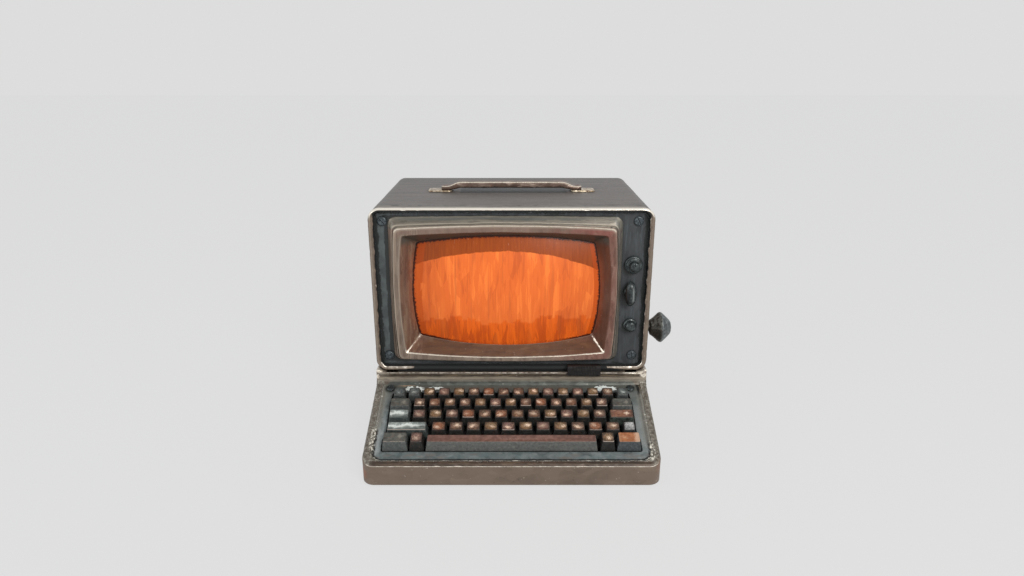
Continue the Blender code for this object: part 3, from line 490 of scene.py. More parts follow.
def tray_border(p, colour, d):
    """Dark broken line with light chips along the tray's edge, almost gone along the sides."""
    x, s, n = p.slope_axes()
    loud = p.sub(1.0, p.mul(calm_sides(p), 0.9))
    jag = p.mul(p.sub(p.noise((2.6, 2.6, 2.6), 4.0, 0.7, shift=33.0), 0.5), 5.0)
    near = p.abs(p.add(d, jag))
    broken = p.band(p.noise((6.0, 6.0, 6.0), 3.0, 0.6, shift=35.0), 0.32, 0.44)
    front = p.band(s, -112.0, -117.0)
    line = p.mul(p.band(near, 1.9, 0.9), broken)
    line = p.max(line, p.mul(p.band(p.abs(p.add(p.add(d, 0.6), p.mul(jag, 0.5))), 2.6, 1.6), front))
    colour = p.mix(p.mul(p.mul(line, loud), 0.95), colour, srgb(24, 26, 24))
    grit = p.mul(p.band(p.abs(p.sub(d, 0.6)), 3.4, 2.0), p.band(p.noise((1.5, 1.5, 1.5), 3.0, 0.7, shift=37.0), 0.57, 0.62))
    colour = p.mix(p.mul(p.mul(grit, loud), 0.85), colour, srgb(30, 31, 28))
    place = p.band(p.noise((16.0, 16.0, 16.0), 2.0, 0.5, shift=39.0), 0.50, 0.60)
    chip = p.mul(p.band(p.abs(p.sub(d, 1.4)), 2.2, 1.0), p.band(p.noise((2.0, 2.0, 2.0), 3.0, 0.65, shift=43.0), 0.58, 0.63))
    colour = p.mix(p.mul(p.mul(p.mul(chip, place), p.sub(1.0, p.mul(front, 0.7))), 0.9), colour, srgb(214, 212, 200))
    left_run = p.mul(p.band(x, -140.0, -148.0), p.mul(p.band(s, -107.0, -101.0), p.band(s, -72.0, -80.0)))
    right_run = p.mul(p.band(x, 140.0, 148.0), p.mul(p.band(s, -124.0, -119.0), p.band(s, -92.0, -99.0)))
    more = p.mul(p.band(p.abs(p.sub(d, 3.2)), 3.4, 1.8), p.band(p.noise((2.6, 2.6, 2.6), 3.0, 0.7, shift=49.0), 0.50, 0.56))
    colour = p.mix(p.mul(p.mul(more, p.max(left_run, right_run)), 0.95), colour, srgb(224, 220, 206))
    dash = p.mul(p.mul(p.band(p.noise((7.0, 2.0, 2.0), 3.0, 0.6, shift=47.0), 0.56, 0.61), front), p.band(p.abs(p.sub(d, 0.5)), 1.3, 0.7))
    return p.mix(p.mul(dash, 0.9), colour, srgb(206, 202, 190))


def case_extra(p, colour):
    """Greyer on top with long dark scratches behind the front edge, brown below, the tray's paint on the slope."""
    x, y, z = p.axes()
    up = p.mul(p.band(p.facing((0, 0, 1)), 0.45, 0.8), p.band(z, 200.0, 230.0))
    grey, _ = tones(p, srgb(95, 90, 85), srgb(111, 105, 100), srgb(120, 114, 108), (90.0, 4.0, 20.0), 21.0, 0.8)
    colour = p.mix(up, colour, grey)
    lip = p.mul(p.band(y, 22.0, 6.0), p.band(p.noise((38.0, 7.0, 9.0), 3.0, 0.6, shift=14.0), 0.36, 0.58))
    colour = p.mix(p.mul(p.mul(lip, up), 0.75), colour, srgb(152, 143, 129))
    behind = p.mul(p.band(y, 12.0, 14.5), p.band(y, 24.0, 21.0))
    dash = p.band(p.noise((13.0, 7.0, 9.0), 3.0, 0.6, shift=4.0), 0.535, 0.58)
    colour = p.mix(p.mul(p.mul(dash, behind), p.mul(up, 0.65)), colour, srgb(48, 45, 42))
    far = p.mul(p.band(y, 26.0, 30.0), p.band(y, 48.0, 42.0))
    scuff = p.band(p.noise((16.0, 9.0, 9.0), 3.0, 0.6, shift=16.0), 0.58, 0.64)
    colour = p.mix(p.mul(p.mul(scuff, far), p.mul(up, 0.12)), colour, srgb(60, 57, 53))
    # painted shadow of the handle strap on the case top, beneath and behind it
    handle_shadow = p.mul(p.mul(p.band(p.abs(p.sub(x, 2.7)), 70.0, 67.0), p.band(y, 99.5, 101.5)), p.band(y, 150.0, 139.0))
    colour = p.mix(p.mul(p.mul(handle_shadow, up), 0.92), colour, srgb(46, 48, 48))
    feet = p.mul(p.band(p.abs(p.sub(p.abs(x), 91.5)), 21.0, 14.0), p.mul(p.band(y, 98.0, 103.0), p.band(y, 134.0, 128.0)))
    colour = p.mix(p.mul(p.mul(feet, up), p.band(p.noise((4.0, 3.0, 4.0), 3.0, 0.65, shift=17.0), 0.42, 0.56, (0.0, 0.75))), colour, srgb(88, 68, 52))
    # short slanting black strokes under the light line of the upper rim, and one nick in it
    at_rim = p.band(y, 6.0, 3.5)
    slant = p.math("SINE", p.add(p.add(p.mul(x, 0.40), p.mul(p.sub(z, 281.0), 1.1)), p.mul(p.noise(14.0, 2.0, shift=26.0), 9.0)))
    stroke = p.mul(p.mul(p.band(slant, 0.0, 0.4), p.band(z, 283.5, 282.8)), p.mul(p.band(p.abs(p.sub(x, 6.0)), 70.0, 40.0), p.band(z, 270.0, 275.0)))
    colour = p.mix(p.mul(stroke, at_rim), colour, BLACK)
    # the upright step behind the keyboard: dark olive-brown above, streaky
    step_up = p.mul(p.mul(p.band(y, -13.0, -9.0), p.band(y, 3.0, -1.0)), p.mul(p.band(z, 66.0, 68.0), p.band(z, 81.7, 80.9)))
    bark, _ = tones(p, srgb(34, 29, 22), srgb(60, 50, 38), srgb(110, 95, 74), (24.0, 4.0, 1.7), 71.0, 1.3)
    colour = p.mix(p.mul(step_up, 0.9), colour, bark)
    wave_z = p.add(z, p.mul(p.sub(p.noise((26.0, 5.0, 400.0), 2.0, 0.55, shift=73.0), 0.5), 7.0))
    ribbon = p.mul(p.band(p.abs(p.sub(wave_z, 75.2)), 2.3, 1.2), p.band(p.noise((15.0, 5.0, 3.0), 3.0, 0.6, shift=75.0), 0.36, 0.52))
    upright = p.mul(p.band(y, -10.0, -8.5), p.band(y, 3.0, -1.0))
    colour = p.mix(p.mul(p.mul(ribbon, upright), 0.75), colour, srgb(152, 138, 117))
    # the sloped tray: olive rim, teal-grey inside
    d = tray_distance(p)
    slope_n = p.slope_axes()[2]
    on_slope = p.mul(p.band(slope_n, -1.9, -1.2), p.mul(p.band(y, 2.0, -2.5), p.band(p.facing((0, -ST, CT)), 0.25, 0.6)))
    olive, _ = tones(p, srgb(56, 49, 41), srgb(76, 67, 57), srgb(98, 89, 76), (5.0, 5.0, 5.0), 51.0)
    ashen, _ = tones(p, srgb(82, 77, 68), srgb(112, 107, 97), srgb(148, 144, 134), (3.4, 3.4, 3.4), 57.0)
    olive = p.mix(p.band(p.abs(x), 152.0, 158.0), olive, ashen)
    umber, _ = tones(p, srgb(46, 36, 27), srgb(64, 50, 38), srgb(88, 72, 57), (22.0, 5.0, 3.0), 59.0)
    olive = p.mix(p.mul(p.band(p.slope_axes()[1], -118.5, -120.5), p.band(p.abs(x), 158.0, 150.0)), olive, umber)
    colour = p.mix(p.mul(on_slope, 0.9), colour, olive)
    teal, _ = tones(p, srgb(60, 62, 57), srgb(77, 80, 74), srgb(96, 100, 93), (12.0, 9.0, 9.0), 53.0)
    inside = p.mul(p.band(p.add(d, p.mul(p.sub(p.noise(3.0, 3.0), 0.5), 3.0)), 0.8, -0.8), p.band(y, -2.0, -4.0))
    colour = p.mix(p.mul(inside, p.band(z, 74.6, 72.6)), colour, teal)
    colour = p.mix(p.mul(on_slope, p.band(y, -5.0, -9.0)), colour, tray_border(p, colour, d))
    nick = p.mul(p.band(p.abs(p.add(x, p.add(122.2, p.mul(p.sub(z, 283.0), 0.25)))), 1.0, 0.5), p.mul(at_rim, p.band(z, 279.0, 280.0)))
    colour = p.mix(p.mul(nick, 0.95), colour, BLACK)
    # corners where the ledge meets the case, painted bright as worn-through metal and as painted highlight
    bare_and_lit = p.max(p.spot((-160.8, -4.4, 83.8), (4.6, 5.0, 1.6), 0.4, 1.4), p.spot((-163.2, -4.4, 77.4), (2.6, 5.0, 3.4), 0.4, 1.0))
    bare_and_lit = p.max(bare_and_lit, p.max(p.spot((155.0, -4.4, 82.4), (9.0, 5.0, 2.2), 0.35, 2.4), p.spot((161.0, -4.4, 79.2), (4.5, 5.0, 3.4), 0.4, 2.4)))
    bare_and_lit = p.mul(bare_and_lit, p.band(p.noise((3.0, 3.0, 1.6), 3.0, 0.65, shift=79.0), 0.38, 0.5))
    colour = p.mix(p.mul(bare_and_lit, 0.92), colour, srgb(246, 236, 220))
    rust = p.max(p.spot((-163.0, -112.0, 12.0), (8.0, 12.0, 11.0), 0.9), p.mul(p.spot((163.0, -112.0, 20.0), (8.0, 12.0, 12.0), 0.9), 0.5))
    return p.mix(p.mul(rust, 0.55), colour, srgb(150, 88, 52))


M_CASE = worn("case_finish", srgb(98, 84, 72), srgb(114, 98, 85), srgb(124, 108, 94), (34.0, 20.0, 16.0),
              edge=srgb(254, 246, 232), dark=BLACK, rough=0.44, metal=0.3, extra=case_extra, seed=2.0, edge_amount=0.42, contrast=0.6, blotch=0.08,
              gain=0.9, chips=0.3)


def panel_extra(p, colour):
    """Ragged black lines of painted shade round the panel and round the bezel, pale worn streaks between them, painted
    shade round the knobs and screws and along the bottom below the bezel.
    """
    x, y, z = p.axes()
    jag = p.mul(p.sub(p.noise((3.4, 3.4, 5.0), 4.0, 0.72, shift=2.0), 0.5), 8.0)
    slow = p.mul(p.sub(p.noise((16.0, 16.0, 16.0), 2.0, 0.5, shift=3.0), 0.5), 6.0)
    out_x = p.sub(p.abs(x), 158.6)
    out_z = p.sub(p.abs(p.sub(z, 183.55)), 94.5)
    rim = p.add(p.max(p.add(out_x, 2.7), out_z), p.add(jag, slow))
    in_x = p.sub(p.abs(p.sub(x, -6.75)), 136.4)
    in_z = p.sub(p.abs(p.sub(z, 183.2)), 90.6)
    frame_gap = p.add(p.max(p.sub(in_x, p.band(x, -130.0, -138.0, (0.0, 4.0))), in_z), p.mul(p.add(jag, slow), -0.6))
    streak = p.band(p.noise((3.0, 4.0, 34.0), 3.0, 0.6, shift=7.0), 0.5, 0.7)
    colour = p.mix(p.mul(streak, 0.45), colour, srgb(78, 85, 89))
    dark_streak = p.band(p.noise((3.0, 4.0, 40.0), 3.0, 0.6, shift=8.0), 0.56, 0.7)
    colour = p.mix(p.mul(dark_streak, 0.5), colour, srgb(46, 50, 52))
    green = p.mul(p.band(x, -120.0, -140.0), p.band(p.noise(14.0, 2.0, shift=5.0), 0.4, 0.6))
    colour = p.mix(p.mul(green, 0.6), colour, srgb(80, 90, 88))
    colour = p.mix(p.mul(p.band(x, -130.0, -140.0), 0.3), colour, srgb(86, 92, 92))
    # painted shade round the knobs and the four panel screws
    for cx, cz, rx, rz in ((139.0, 210.0, 13.0, 12.0), (136.0, 177.0, 9.0, 17.0), (141.0, 137.0, 11.0, 10.0), (147.0, 101.0, 8.5, 8.5),
                           (147.0, 268.0, 8.0, 8.5), (-149.5, 268.0, 8.0, 8.5), (-149.5, 101.0, 9.0, 9.0)):
        colour = p.mix(p.mul(p.spot((cx, 8.0, cz), (rx, 20.0, rz), 0.75, 2.4), 0.7), colour, srgb(38, 36, 34))
    # black ragged lines of painted shade in the gaps along the case rim and along the bezel's foot
    lines = p.max(p.mul(p.band(rim, -1.6, -0.4), 0.95), p.mul(p.band(frame_gap, 1.7, 0.6), p.lerp(p.band(x, 100.0, 120.0), 0.9, 0.35)))
    colour = p.mix(lines, colour, BLACK)
    # painted shade along the bottom of the panel, below the bezel
    low = p.band(p.add(z, p.mul(p.sub(p.noise((20.0, 5.0, 5.0), 3.0, 0.6, shift=12.0), 0.5), 6.0)), 97.0, 93.0)
    low = p.mul(low, p.band(x, 128.0, 118.0))
    shade_below_bezel, _ = tones(p, srgb(34, 36, 37), srgb(50, 53, 54), srgb(70, 74, 76), (26.0, 6.0, 1.6), 14.0)
    return p.mix(p.mul(low, 0.85), colour, shade_below_bezel)


M_PANEL = worn("panel_finish", srgb(40, 43, 45), srgb(53, 56, 58), srgb(66, 69, 71), (10.0, 12.0, 30.0), edge=srgb(130, 138, 138),
               dark=BLACK, rough=0.5, metal=0.15, extra=panel_extra, seed=6.0, gap_mm=2.0, gap_amount=0.75, chips=0.2, contrast=0.8)


def deck_extra(p, colour):
    """White worn-through patches by the rear screws, a dark ragged line at the rim, painted shade along the edge of the
    key opening, dark rings round the screws.
    """
    x, s, n = p.slope_axes()
    teal = p.band(p.noise((16.0, 12.0, 12.0), 3.0, 0.6, shift=8.0), 0.50, 0.64)
    colour = p.mix(p.mul(teal, 0.5), colour, srgb(76, 92, 92))
    pale = p.band(p.noise((9.0, 14.0, 14.0), 3.0, 0.6, shift=10.0), 0.52, 0.66)
    colour = p.mix(p.mul(pale, p.band(p.abs(x), 138.0, 148.0, (0.2, 0.6))), colour, srgb(124, 130, 130))
    colour = p.mix(p.mul(p.band(s, -19.0, -14.0), 0.75), colour, srgb(72, 69, 60))
    bright = p.mul(p.band(x, -144.5, -147.5), p.band(p.noise((9.0, 30.0, 30.0), 2.0, 0.5, shift=18.0), 0.3, 0.5))
    colour = p.mix(p.mul(p.mul(bright, p.band(s, -40.0, -80.0, (0.25, 1.0))), 0.85), colour, srgb(138, 144, 143))
    colour = p.mix(p.mul(p.mul(p.band(p.abs(x), 138.0, 146.0), p.band(s, -62.0, -18.0)), 0.6), colour, srgb(88, 90, 84))
    right_strip = p.mul(p.band(x, 141.0, 145.0), p.mul(p.band(s, -110.0, -96.0), p.band(s, -32.0, -50.0)))
    colour = p.mix(p.mul(right_strip, 0.6), colour, srgb(134, 138, 136))
    warm = p.mul(p.band(p.noise((22.0, 7.0, 7.0), 3.0, 0.6, shift=15.0), 0.52, 0.66), p.band(s, -108.0, -112.0))
    colour = p.mix(p.mul(warm, 0.5), colour, srgb(100, 88, 80))
    d = tray_distance(p)
    brown, _ = tones(p, srgb(56, 48, 38), srgb(78, 70, 57), srgb(104, 96, 80), (5.0, 5.0, 5.0), 55.0)
    ashen, _ = tones(p, srgb(78, 74, 65), srgb(108, 104, 94), srgb(146, 142, 132), (3.4, 3.4, 3.4), 57.0)
    brown = p.mix(p.mul(p.band(p.abs(x), 150.0, 154.0), p.band(s, -12.0, -30.0)), brown, ashen)
    colour = p.mix(p.band(p.add(d, p.mul(p.sub(p.noise(3.0, 3.0), 0.5), 3.0)), -0.8, 0.8), colour, brown)
    worn_in = p.mul(calm_sides(p), p.band(p.add(d, p.mul(p.sub(p.noise(4.0, 3.0), 0.5), 6.0)), -6.5, -0.5))
    colour = p.mix(p.mul(worn_in, 0.7), colour, srgb(122, 122, 114))
    colour = tray_border(p, colour, d)
    patch = p.max(p.spot(slope(-117.0, -14.0, -2.0), (15.0, 5.0, 6.0), 0.5, 3.0), p.spot(slope(113.0, -13.5, -2.0), (19.0, 5.0, 6.0), 0.5, 3.4))
    patch = p.max(patch, p.mul(p.spot(slope(-92.0, -12.5, -2.0), (12.0, 3.0, 5.0), 0.5, 2.0), 0.85))
    torn = p.noise((6.0, 3.6, 3.6), 4.0, 0.68, 0.8, shift=1.0)
    torn = p.band(p.add(torn, p.mul(patch, 0.16)), 0.52, 0.60)
    colour = p.mix(p.mul(p.band(patch, 0.1, 0.45), p.mul(torn, 0.95)), colour, srgb(212, 218, 214))
    gold = p.mul(p.spot(slope(-128.0, -7.5, -2.0), (16.0, 2.6, 5.0), 0.6, 1.5), 0.7)
    colour = p.mix(gold, colour, srgb(168, 140, 112))
    rings = p.max(p.spot(slope(-147.0, -13.2, -2.0), (9.0, 9.0, 9.0), 0.5), p.mul(p.spot(slope(144.5, -13.2, -2.0), (7.5, 7.5, 7.5), 0.5), 0.6))
    colour = p.mix(p.mul(rings, 0.85), colour, srgb(36, 38, 34))
    # painted shade along the edge of the key opening, where the mesh marks it
    edge_line = p.mul(p.band(p.attr("grime_and_shade"), 0.2, 0.6), 0.9)
    return p.mix(edge_line, colour, BLACK)


M_DECK = worn("deck_finish", srgb(72, 79, 79), srgb(90, 97, 97), srgb(106, 113, 112), (17.0, 9.0, 9.0), edge=srgb(150, 156, 152),
              dark=BLACK, rough=0.5, metal=0.1, extra=deck_extra, seed=4.0, gap_mm=1.6, gap_amount=0.5, chips=0.4, edge_amount=0.35)


def bezel_extra(p, colour):
    """Mauve on the right and upper faces, vertical light streaks on the left, olive above and below, painted shade on
    the upper funnel, the funnel's left wall lighter and its right wall darker, partly painted light and shade.
    """
    x, y, z = p.axes()
    zone = p.attr("funnel")
    bevel = p.attr("bevel")
    right = p.band(p.add(x, p.mul(p.sub(p.noise(24.0, 2.0), 0.5), 40.0)), 20.0, 108.0)
    top = p.band(p.add(z, p.mul(p.sub(p.noise(24.0, 2.0, shift=5.0), 0.5), 20.0)), 246.0, 258.0)
    left = p.band(x, -100.0, -114.0)
    mauve, _ = tones(p, srgb(108, 68, 56), srgb(132, 88, 75), srgb(152, 112, 98), (7.0, 8.0, 24.0), 31.0)
    colour = p.mix(p.mul(p.max(right, p.mul(top, 0.45)), 0.85), colour, mauve)
    colour = p.mix(p.mul(p.mul(top, p.band(x, 60.0, 20.0)), 0.35), colour, srgb(166, 142, 128))
    red = p.mul(p.mul(p.band(x, 30.0, 90.0), top), p.band(p.noise((18.0, 6.0, 6.0), 3.0, 0.6, shift=61.0), 0.45, 0.62))
    colour = p.mix(p.mul(red, 0.6), colour, srgb(158, 92, 82))
    # long upright lines down the left face, light and dark
    streak = p.noise((1.3, 3.0, 90.0), 3.0, 0.6, shift=9.0)
    colour = p.mix(p.mul(p.mul(p.band(streak, 0.52, 0.64), left), 0.5), colour, srgb(168, 148, 130))
    colour = p.mix(p.mul(p.mul(p.band(streak, 0.46, 0.36), left), 0.55), colour, srgb(84, 68, 58))
    # outer slope: olive-grey above, grey-green to the right
    tone, _ = tones(p, srgb(96, 92, 82), srgb(118, 112, 100), srgb(136, 128, 114), (46.0, 6.0, 2.4), 63.0)
    above = p.mul(bevel, p.band(z, 258.0, 262.0))
    colour = p.mix(p.mul(above, 0.95), colour, tone)
    cool = p.mul(above, p.band(p.add(z, p.mul(p.sub(p.noise((30.0, 6.0, 6.0), 3.0, 0.6, shift=65.0), 0.5), 9.0)), 268.5, 271.5))
    colour = p.mix(p.mul(cool, 0.75), colour, srgb(92, 96, 92))
    green, _ = tones(p, srgb(86, 88, 82), srgb(110, 110, 102), srgb(132, 128, 118), (2.0, 6.0, 40.0), 67.0)
    colour = p.mix(p.mul(p.mul(bevel, p.band(x, 117.0, 122.0)), 0.85), colour, green)
    low = p.band(z, 128.0, 112.0)
    olive, _ = tones(p, srgb(84, 50, 26), srgb(102, 62, 33), srgb(116, 75, 43), (34.0, 8.0, 5.0), 41.0, 0.8)
    colour = p.mix(p.mul(p.mul(low, zone), 0.9), colour, olive)
    # the funnel's right wall darker brown and its left wall lighter tan: partly their own colour, partly painted shade
    # on the right and painted light on the left
    brown, _ = tones(p, srgb(84, 50, 34), srgb(100, 61, 41), srgb(110, 72, 50), (9.0, 9.0, 40.0), 45.0, 0.7)
    colour = p.mix(p.mul(p.mul(p.band(x, 92.0, 100.0), zone), 0.85), colour, brown)
    tan, _ = tones(p, srgb(104, 72, 56), srgb(128, 92, 72), srgb(150, 124, 100), (4.0, 9.0, 50.0), 47.0)
    wall = p.mul(p.band(x, -104.0, -112.0), zone)
    colour = p.mix(p.mul(wall, 0.85), colour, tan)
    glow = p.mul(p.mul(p.attr("glow"), p.band(z, 122.0, 150.0)), p.band(z, 240.0, 214.0))
    colour = p.mix(p.mul(glow, 0.55), colour, srgb(164, 80, 36))
    # painted shade on the upper funnel
    painted_shade = p.mul(p.band(z, 236.0, 246.0), zone)
    return p.mix(p.mul(painted_shade, 0.94), colour, srgb(80, 82, 74))


M_BEZEL = worn("bezel_finish", srgb(108, 91, 78), srgb(131, 113, 99), srgb(147, 131, 116), (9.0, 10.0, 34.0), edge=srgb(248, 236, 218), dark=srgb(30, 29, 27),
               rough=0.4, metal=0.25, extra=bezel_extra, seed=8.0, edge_amount=0.15, gap_mm=2.0, gap_amount=0.4, chips=0.15,
               contrast=0.8, pale=srgb(206, 194, 176), blotch=0.15, gain=0.72)


def screen_material():
    p = Paint("screen_finish")
    x, y, z = p.axes()
    dx = p.sub(x, -5.3)
    fine = p.noise((1.6, 9.0, 70.0), 3.0, 0.6, 0.0)
    wide = p.noise((9.0, 20.0, 90.0), 2.0, 0.5, 0.0, shift=3.0)
    strokes = p.daubs((4.2, 30.0, 24.0), 0.5)
    blocks = p.daubs((9.0, 30.0, 40.0), 0.5, 7.0)
    mixed = p.add(p.add(p.mul(p.sub(fine, 0.5), 0.7), p.mul(p.sub(wide, 0.5), 1.0)),
                  p.add(p.mul(p.sub(strokes, 0.5), 0.34), p.mul(p.sub(blocks, 0.5), 0.30)))
    bright = p.mix(p.band(mixed, -0.42, -0.02), srgb(198, 90, 38), srgb(222, 106, 44))
    bright = p.mix(p.band(mixed, 0.0, 0.4), bright, srgb(240, 124, 54))
    # a browner column or two left of the middle
    bright = p.mix(p.mul(p.band(p.noise((5.0, 20.0, 120.0), 2.0, 0.5, shift=16.0), 0.60, 0.70), 0.45), bright, srgb(186, 92, 46))
    # deeper orange in the lower third, in upright strokes
    lower = p.add(z, p.add(p.mul(p.sub(p.daubs((9.0, 30.0, 400.0), 0.5, 13.0), 0.5), 7.0), p.mul(p.sub(p.daubs((22.0, 30.0, 400.0), 0.5, 17.0), 0.5), 9.0)))
    deep = p.mix(p.band(mixed, -0.25, 0.2), srgb(184, 72, 16), srgb(222, 94, 18))
    deep = p.mix(p.mul(p.band(p.daubs((6.0, 30.0, 60.0), 0.5, 23.0), 0.72, 0.84), 0.5), deep, srgb(160, 72, 30))
    colour = p.mix(p.mul(p.band(lower, 147.5, 144.0), 0.78), bright, deep)
    # the arched darker band across the top: the painted shadow of the bezel's upper edge on the bulging glass
    square = p.mul(dx, dx)
    fall = p.mul(square, p.lerp(p.band(dx, -2.0, 2.0), 0.00150, 0.00212))
    arch = p.sub(231.9, fall)
    wavy = p.mul(p.sub(p.noise((13.0, 13.0, 400.0), 2.0, 0.6, shift=11.0), 0.5), 4.0)
    over = p.add(p.sub(z, arch), wavy)
    band_mix = p.add(p.mul(p.sub(p.noise((2.0, 9.0, 40.0), 3.0, 0.6, shift=13.0), 0.5), 1.4), 0.5)
    shade = p.mix(band_mix, srgb(138, 58, 14), srgb(176, 82, 24))
    shade = p.mix(p.mul(p.band(p.sub(z, p.sub(251.5, p.mul(square, 0.0009))), -5.0, 0.0), 0.8), shade, srgb(168, 66, 26))
    pale = p.band(p.noise((1.4, 9.0, 5.0), 3.0, 0.6, shift=19.0), 0.64, 0.72)
    shade = p.mix(p.mul(p.mul(pale, p.band(z, 232.0, 240.0)), 0.6), shade, srgb(206, 138, 104))
    colour = p.mix(p.band(over, -0.5, 0.7), colour, shade)
    # darker strips at both sides, painted shadow of the bezel's side walls, and a dark, ragged rim of painted shade
    # where the glass meets the funnel
    nz = p.mul(p.sub(z, 180.5), 1.0 / 59.0)
    bow = p.sub(1.0, p.mul(nz, nz))
    left_edge = p.sub(-112.9, p.mul(bow, 5.7))
    right_edge = p.add(98.9, p.mul(bow, 7.3))
    ragged = p.mul(p.sub(p.noise((2.6, 2.6, 2.6), 4.0, 0.7, shift=23.0), 0.5), 6.5)
    from_left = p.add(p.sub(x, left_edge), ragged)
    from_right = p.add(p.sub(right_edge, x), ragged)
    side_wave = p.mul(p.sub(p.daubs((30.0, 30.0, 22.0), 0.5, 27.0), 0.5), 3.0)
    side = p.max(p.mul(p.band(p.add(p.sub(x, left_edge), side_wave), 11.5, 10.0), 0.9), p.band(p.sub(right_edge, x), 7.6, 6.6))
    colour = p.mix(p.mul(side, 0.72), colour, srgb(188, 74, 8))
    nx = p.mul(p.sub(x, -7.0), 1.0 / 106.0)
    lift = p.sub(1.0, p.mul(nx, nx))
    low_edge = p.sub(121.8, p.mul(lift, 9.7))
    high_edge = p.add(239.2, p.mul(lift, 10.7))
    from_low = p.add(p.sub(z, low_edge), ragged)
    from_high = p.add(p.sub(high_edge, z), ragged)
    corner = p.band(p.abs(dx), 48.0, 88.0)
    rim = p.max(p.max(p.band(from_left, 2.9, 1.5), p.band(from_right, 2.6, 1.3)),
                p.max(p.mul(p.band(from_low, 3.0, 1.6), p.add(p.mul(corner, 0.9), 0.1)), p.band(from_high, 2.6, 1.3)))
    colour = p.mix(p.mul(rim, 0.92), colour, srgb(48, 22, 16))
    # dark flecks near the lower and left edges
    dark_edge_flecks = p.mul(p.max(p.band(from_low, 8.0, 2.0), p.band(from_left, 6.0, 1.0)), p.band(p.noise((1.6, 1.6, 2.6), 3.0, 0.7, shift=29.0), 0.58, 0.66))
    colour = p.mix(p.mul(dark_edge_flecks, 0.6), colour, srgb(96, 38, 16))
    # the picture dimmed overall, further towards both sides and inside the painted shadow band
    k = p.mul(p.band(x, -62.0, -100.0, (0.77, 0.66)), p.band(x, 40.0, 92.0, (1.0, 0.92)))
    k = p.mul(k, p.lerp(p.band(over, -0.5, 0.7), 1.0, 0.86))
    tint = p.node("ShaderNodeCombineXYZ")
    for socket in tint.inputs:
        p.link(k, socket)
    colour = p.vec("MULTIPLY", colour, tint.outputs[0])
    behind_face = p.band(y, 33.0, 36.0)
    colour = p.mix(behind_face, colour, srgb(26, 26, 28))
    p.bump(mixed, 0.15, 0.3)
    p.finish(colour, p.band(mixed, -0.4, 0.4, (0.42, 0.34)), 0.0, 0.2)
    p.link(colour, p.shader.inputs["Emission Color"])
    p.shader.inputs["Emission Strength"].default_value = 0.30
    return p.material


M_SCREEN = screen_material()


def bright_extra(p, colour):
    rust = p.band(p.noise((9.0, 5.0, 5.0), 3.0, 0.65, shift=3.0), 0.56, 0.68)
    return p.mix(p.mul(rust, 0.7), colour, srgb(112, 80, 60))


M_HANDLE = worn("handle_finish", srgb(76, 59, 50), srgb(100, 82, 72), srgb(146, 128, 116), (20.0, 8.0, 6.0), edge=srgb(246, 234, 214),
                dark=srgb(48, 36, 30), rough=0.36, metal=0.4, extra=bright_extra, seed=12.0, edge_mm=0.8, edge_amount=0.2, chips=0.15, gap_amount=0.5)
M_PLATE = worn("handle_plate_finish", srgb(112, 84, 60), srgb(200, 182, 152), srgb(250, 242, 224), (5.0, 4.0, 3.0), edge=srgb(246, 234, 212),
               dark=srgb(46, 34, 26), rough=0.32, metal=0.55, extra=bright_extra, seed=14.0, gap_mm=2.0, chips=0.5)


def knob_extra(p, colour):
    x, y, z = p.axes()
    grain = p.band(p.noise((1.5, 1.5, 1.5), 3.0, 0.7, shift=5.0), 0.6, 0.72)
    colour = p.mix(p.mul(grain, 0.35), colour, srgb(112, 118, 116))
    soot = p.band(p.noise((2.4, 2.4, 2.4), 3.0, 0.7, shift=7.0), 0.47, 0.38)
    colour = p.mix(p.mul(soot, 0.6), colour, srgb(22, 24, 23))
    # the selector's grip: painted shade to the left, a painted highlight along its right half
    colour = p.mix(p.mul(p.spot((136.0, -2.0, 181.0), (4.6, 14.0, 15.0), 0.5, 1.4), 0.85), colour, srgb(20, 21, 22))
    return p.mix(p.mul(p.spot((143.0, -5.0, 182.0), (1.7, 14.0, 12.0), 0.5, 1.0), 0.7), colour, srgb(130, 136, 134))


M_KNOB = worn("knob_finish", srgb(30, 34, 34), srgb(50, 56, 56), srgb(74, 82, 82), (5.0, 5.0, 5.0), edge=srgb(132, 142, 142),
              dark=srgb(10, 12, 12), rough=0.36, metal=0.4, extra=knob_extra, seed=16.0, edge_mm=0.7, edge_amount=0.75, gap_mm=2.0,
              chips=0.35, wear_metal=0.5)
def side_knob_extra(p, colour):
    """Brown speckle on the cone towards the case; the outer cone a lighter, cooler grey, painted as its lit side; a
    painted highlight on faces turned up, forward and to the left.
    """
    x, y, z = p.axes()
    near = p.band(x, 186.0, 183.5)
    brown = p.band(p.noise((2.2, 2.2, 2.2), 3.0, 0.7, shift=5.0), 0.47, 0.6)
    colour = p.mix(p.mul(p.mul(brown, near), 0.4), colour, srgb(84, 70, 58))
    # the outer cone a lighter, cooler grey, painted as its lit side
    cool, _ = tones(p, srgb(64, 68, 69), srgb(84, 88, 89), srgb(112, 117, 117), (5.0, 5.0, 5.0), 9.0)
    colour = p.mix(p.mul(p.sub(1.0, near), 0.9), colour, cool)
    # painted highlight on faces turned up, forward and to the left
    high = p.mul(p.band(p.facing((-0.5, -0.3, 0.8)), 0.55, 0.9), p.band(p.noise(3.0, 3.0, shift=2.0), 0.4, 0.55))
    return p.mix(p.mul(high, 0.5), colour, srgb(140, 142, 136))


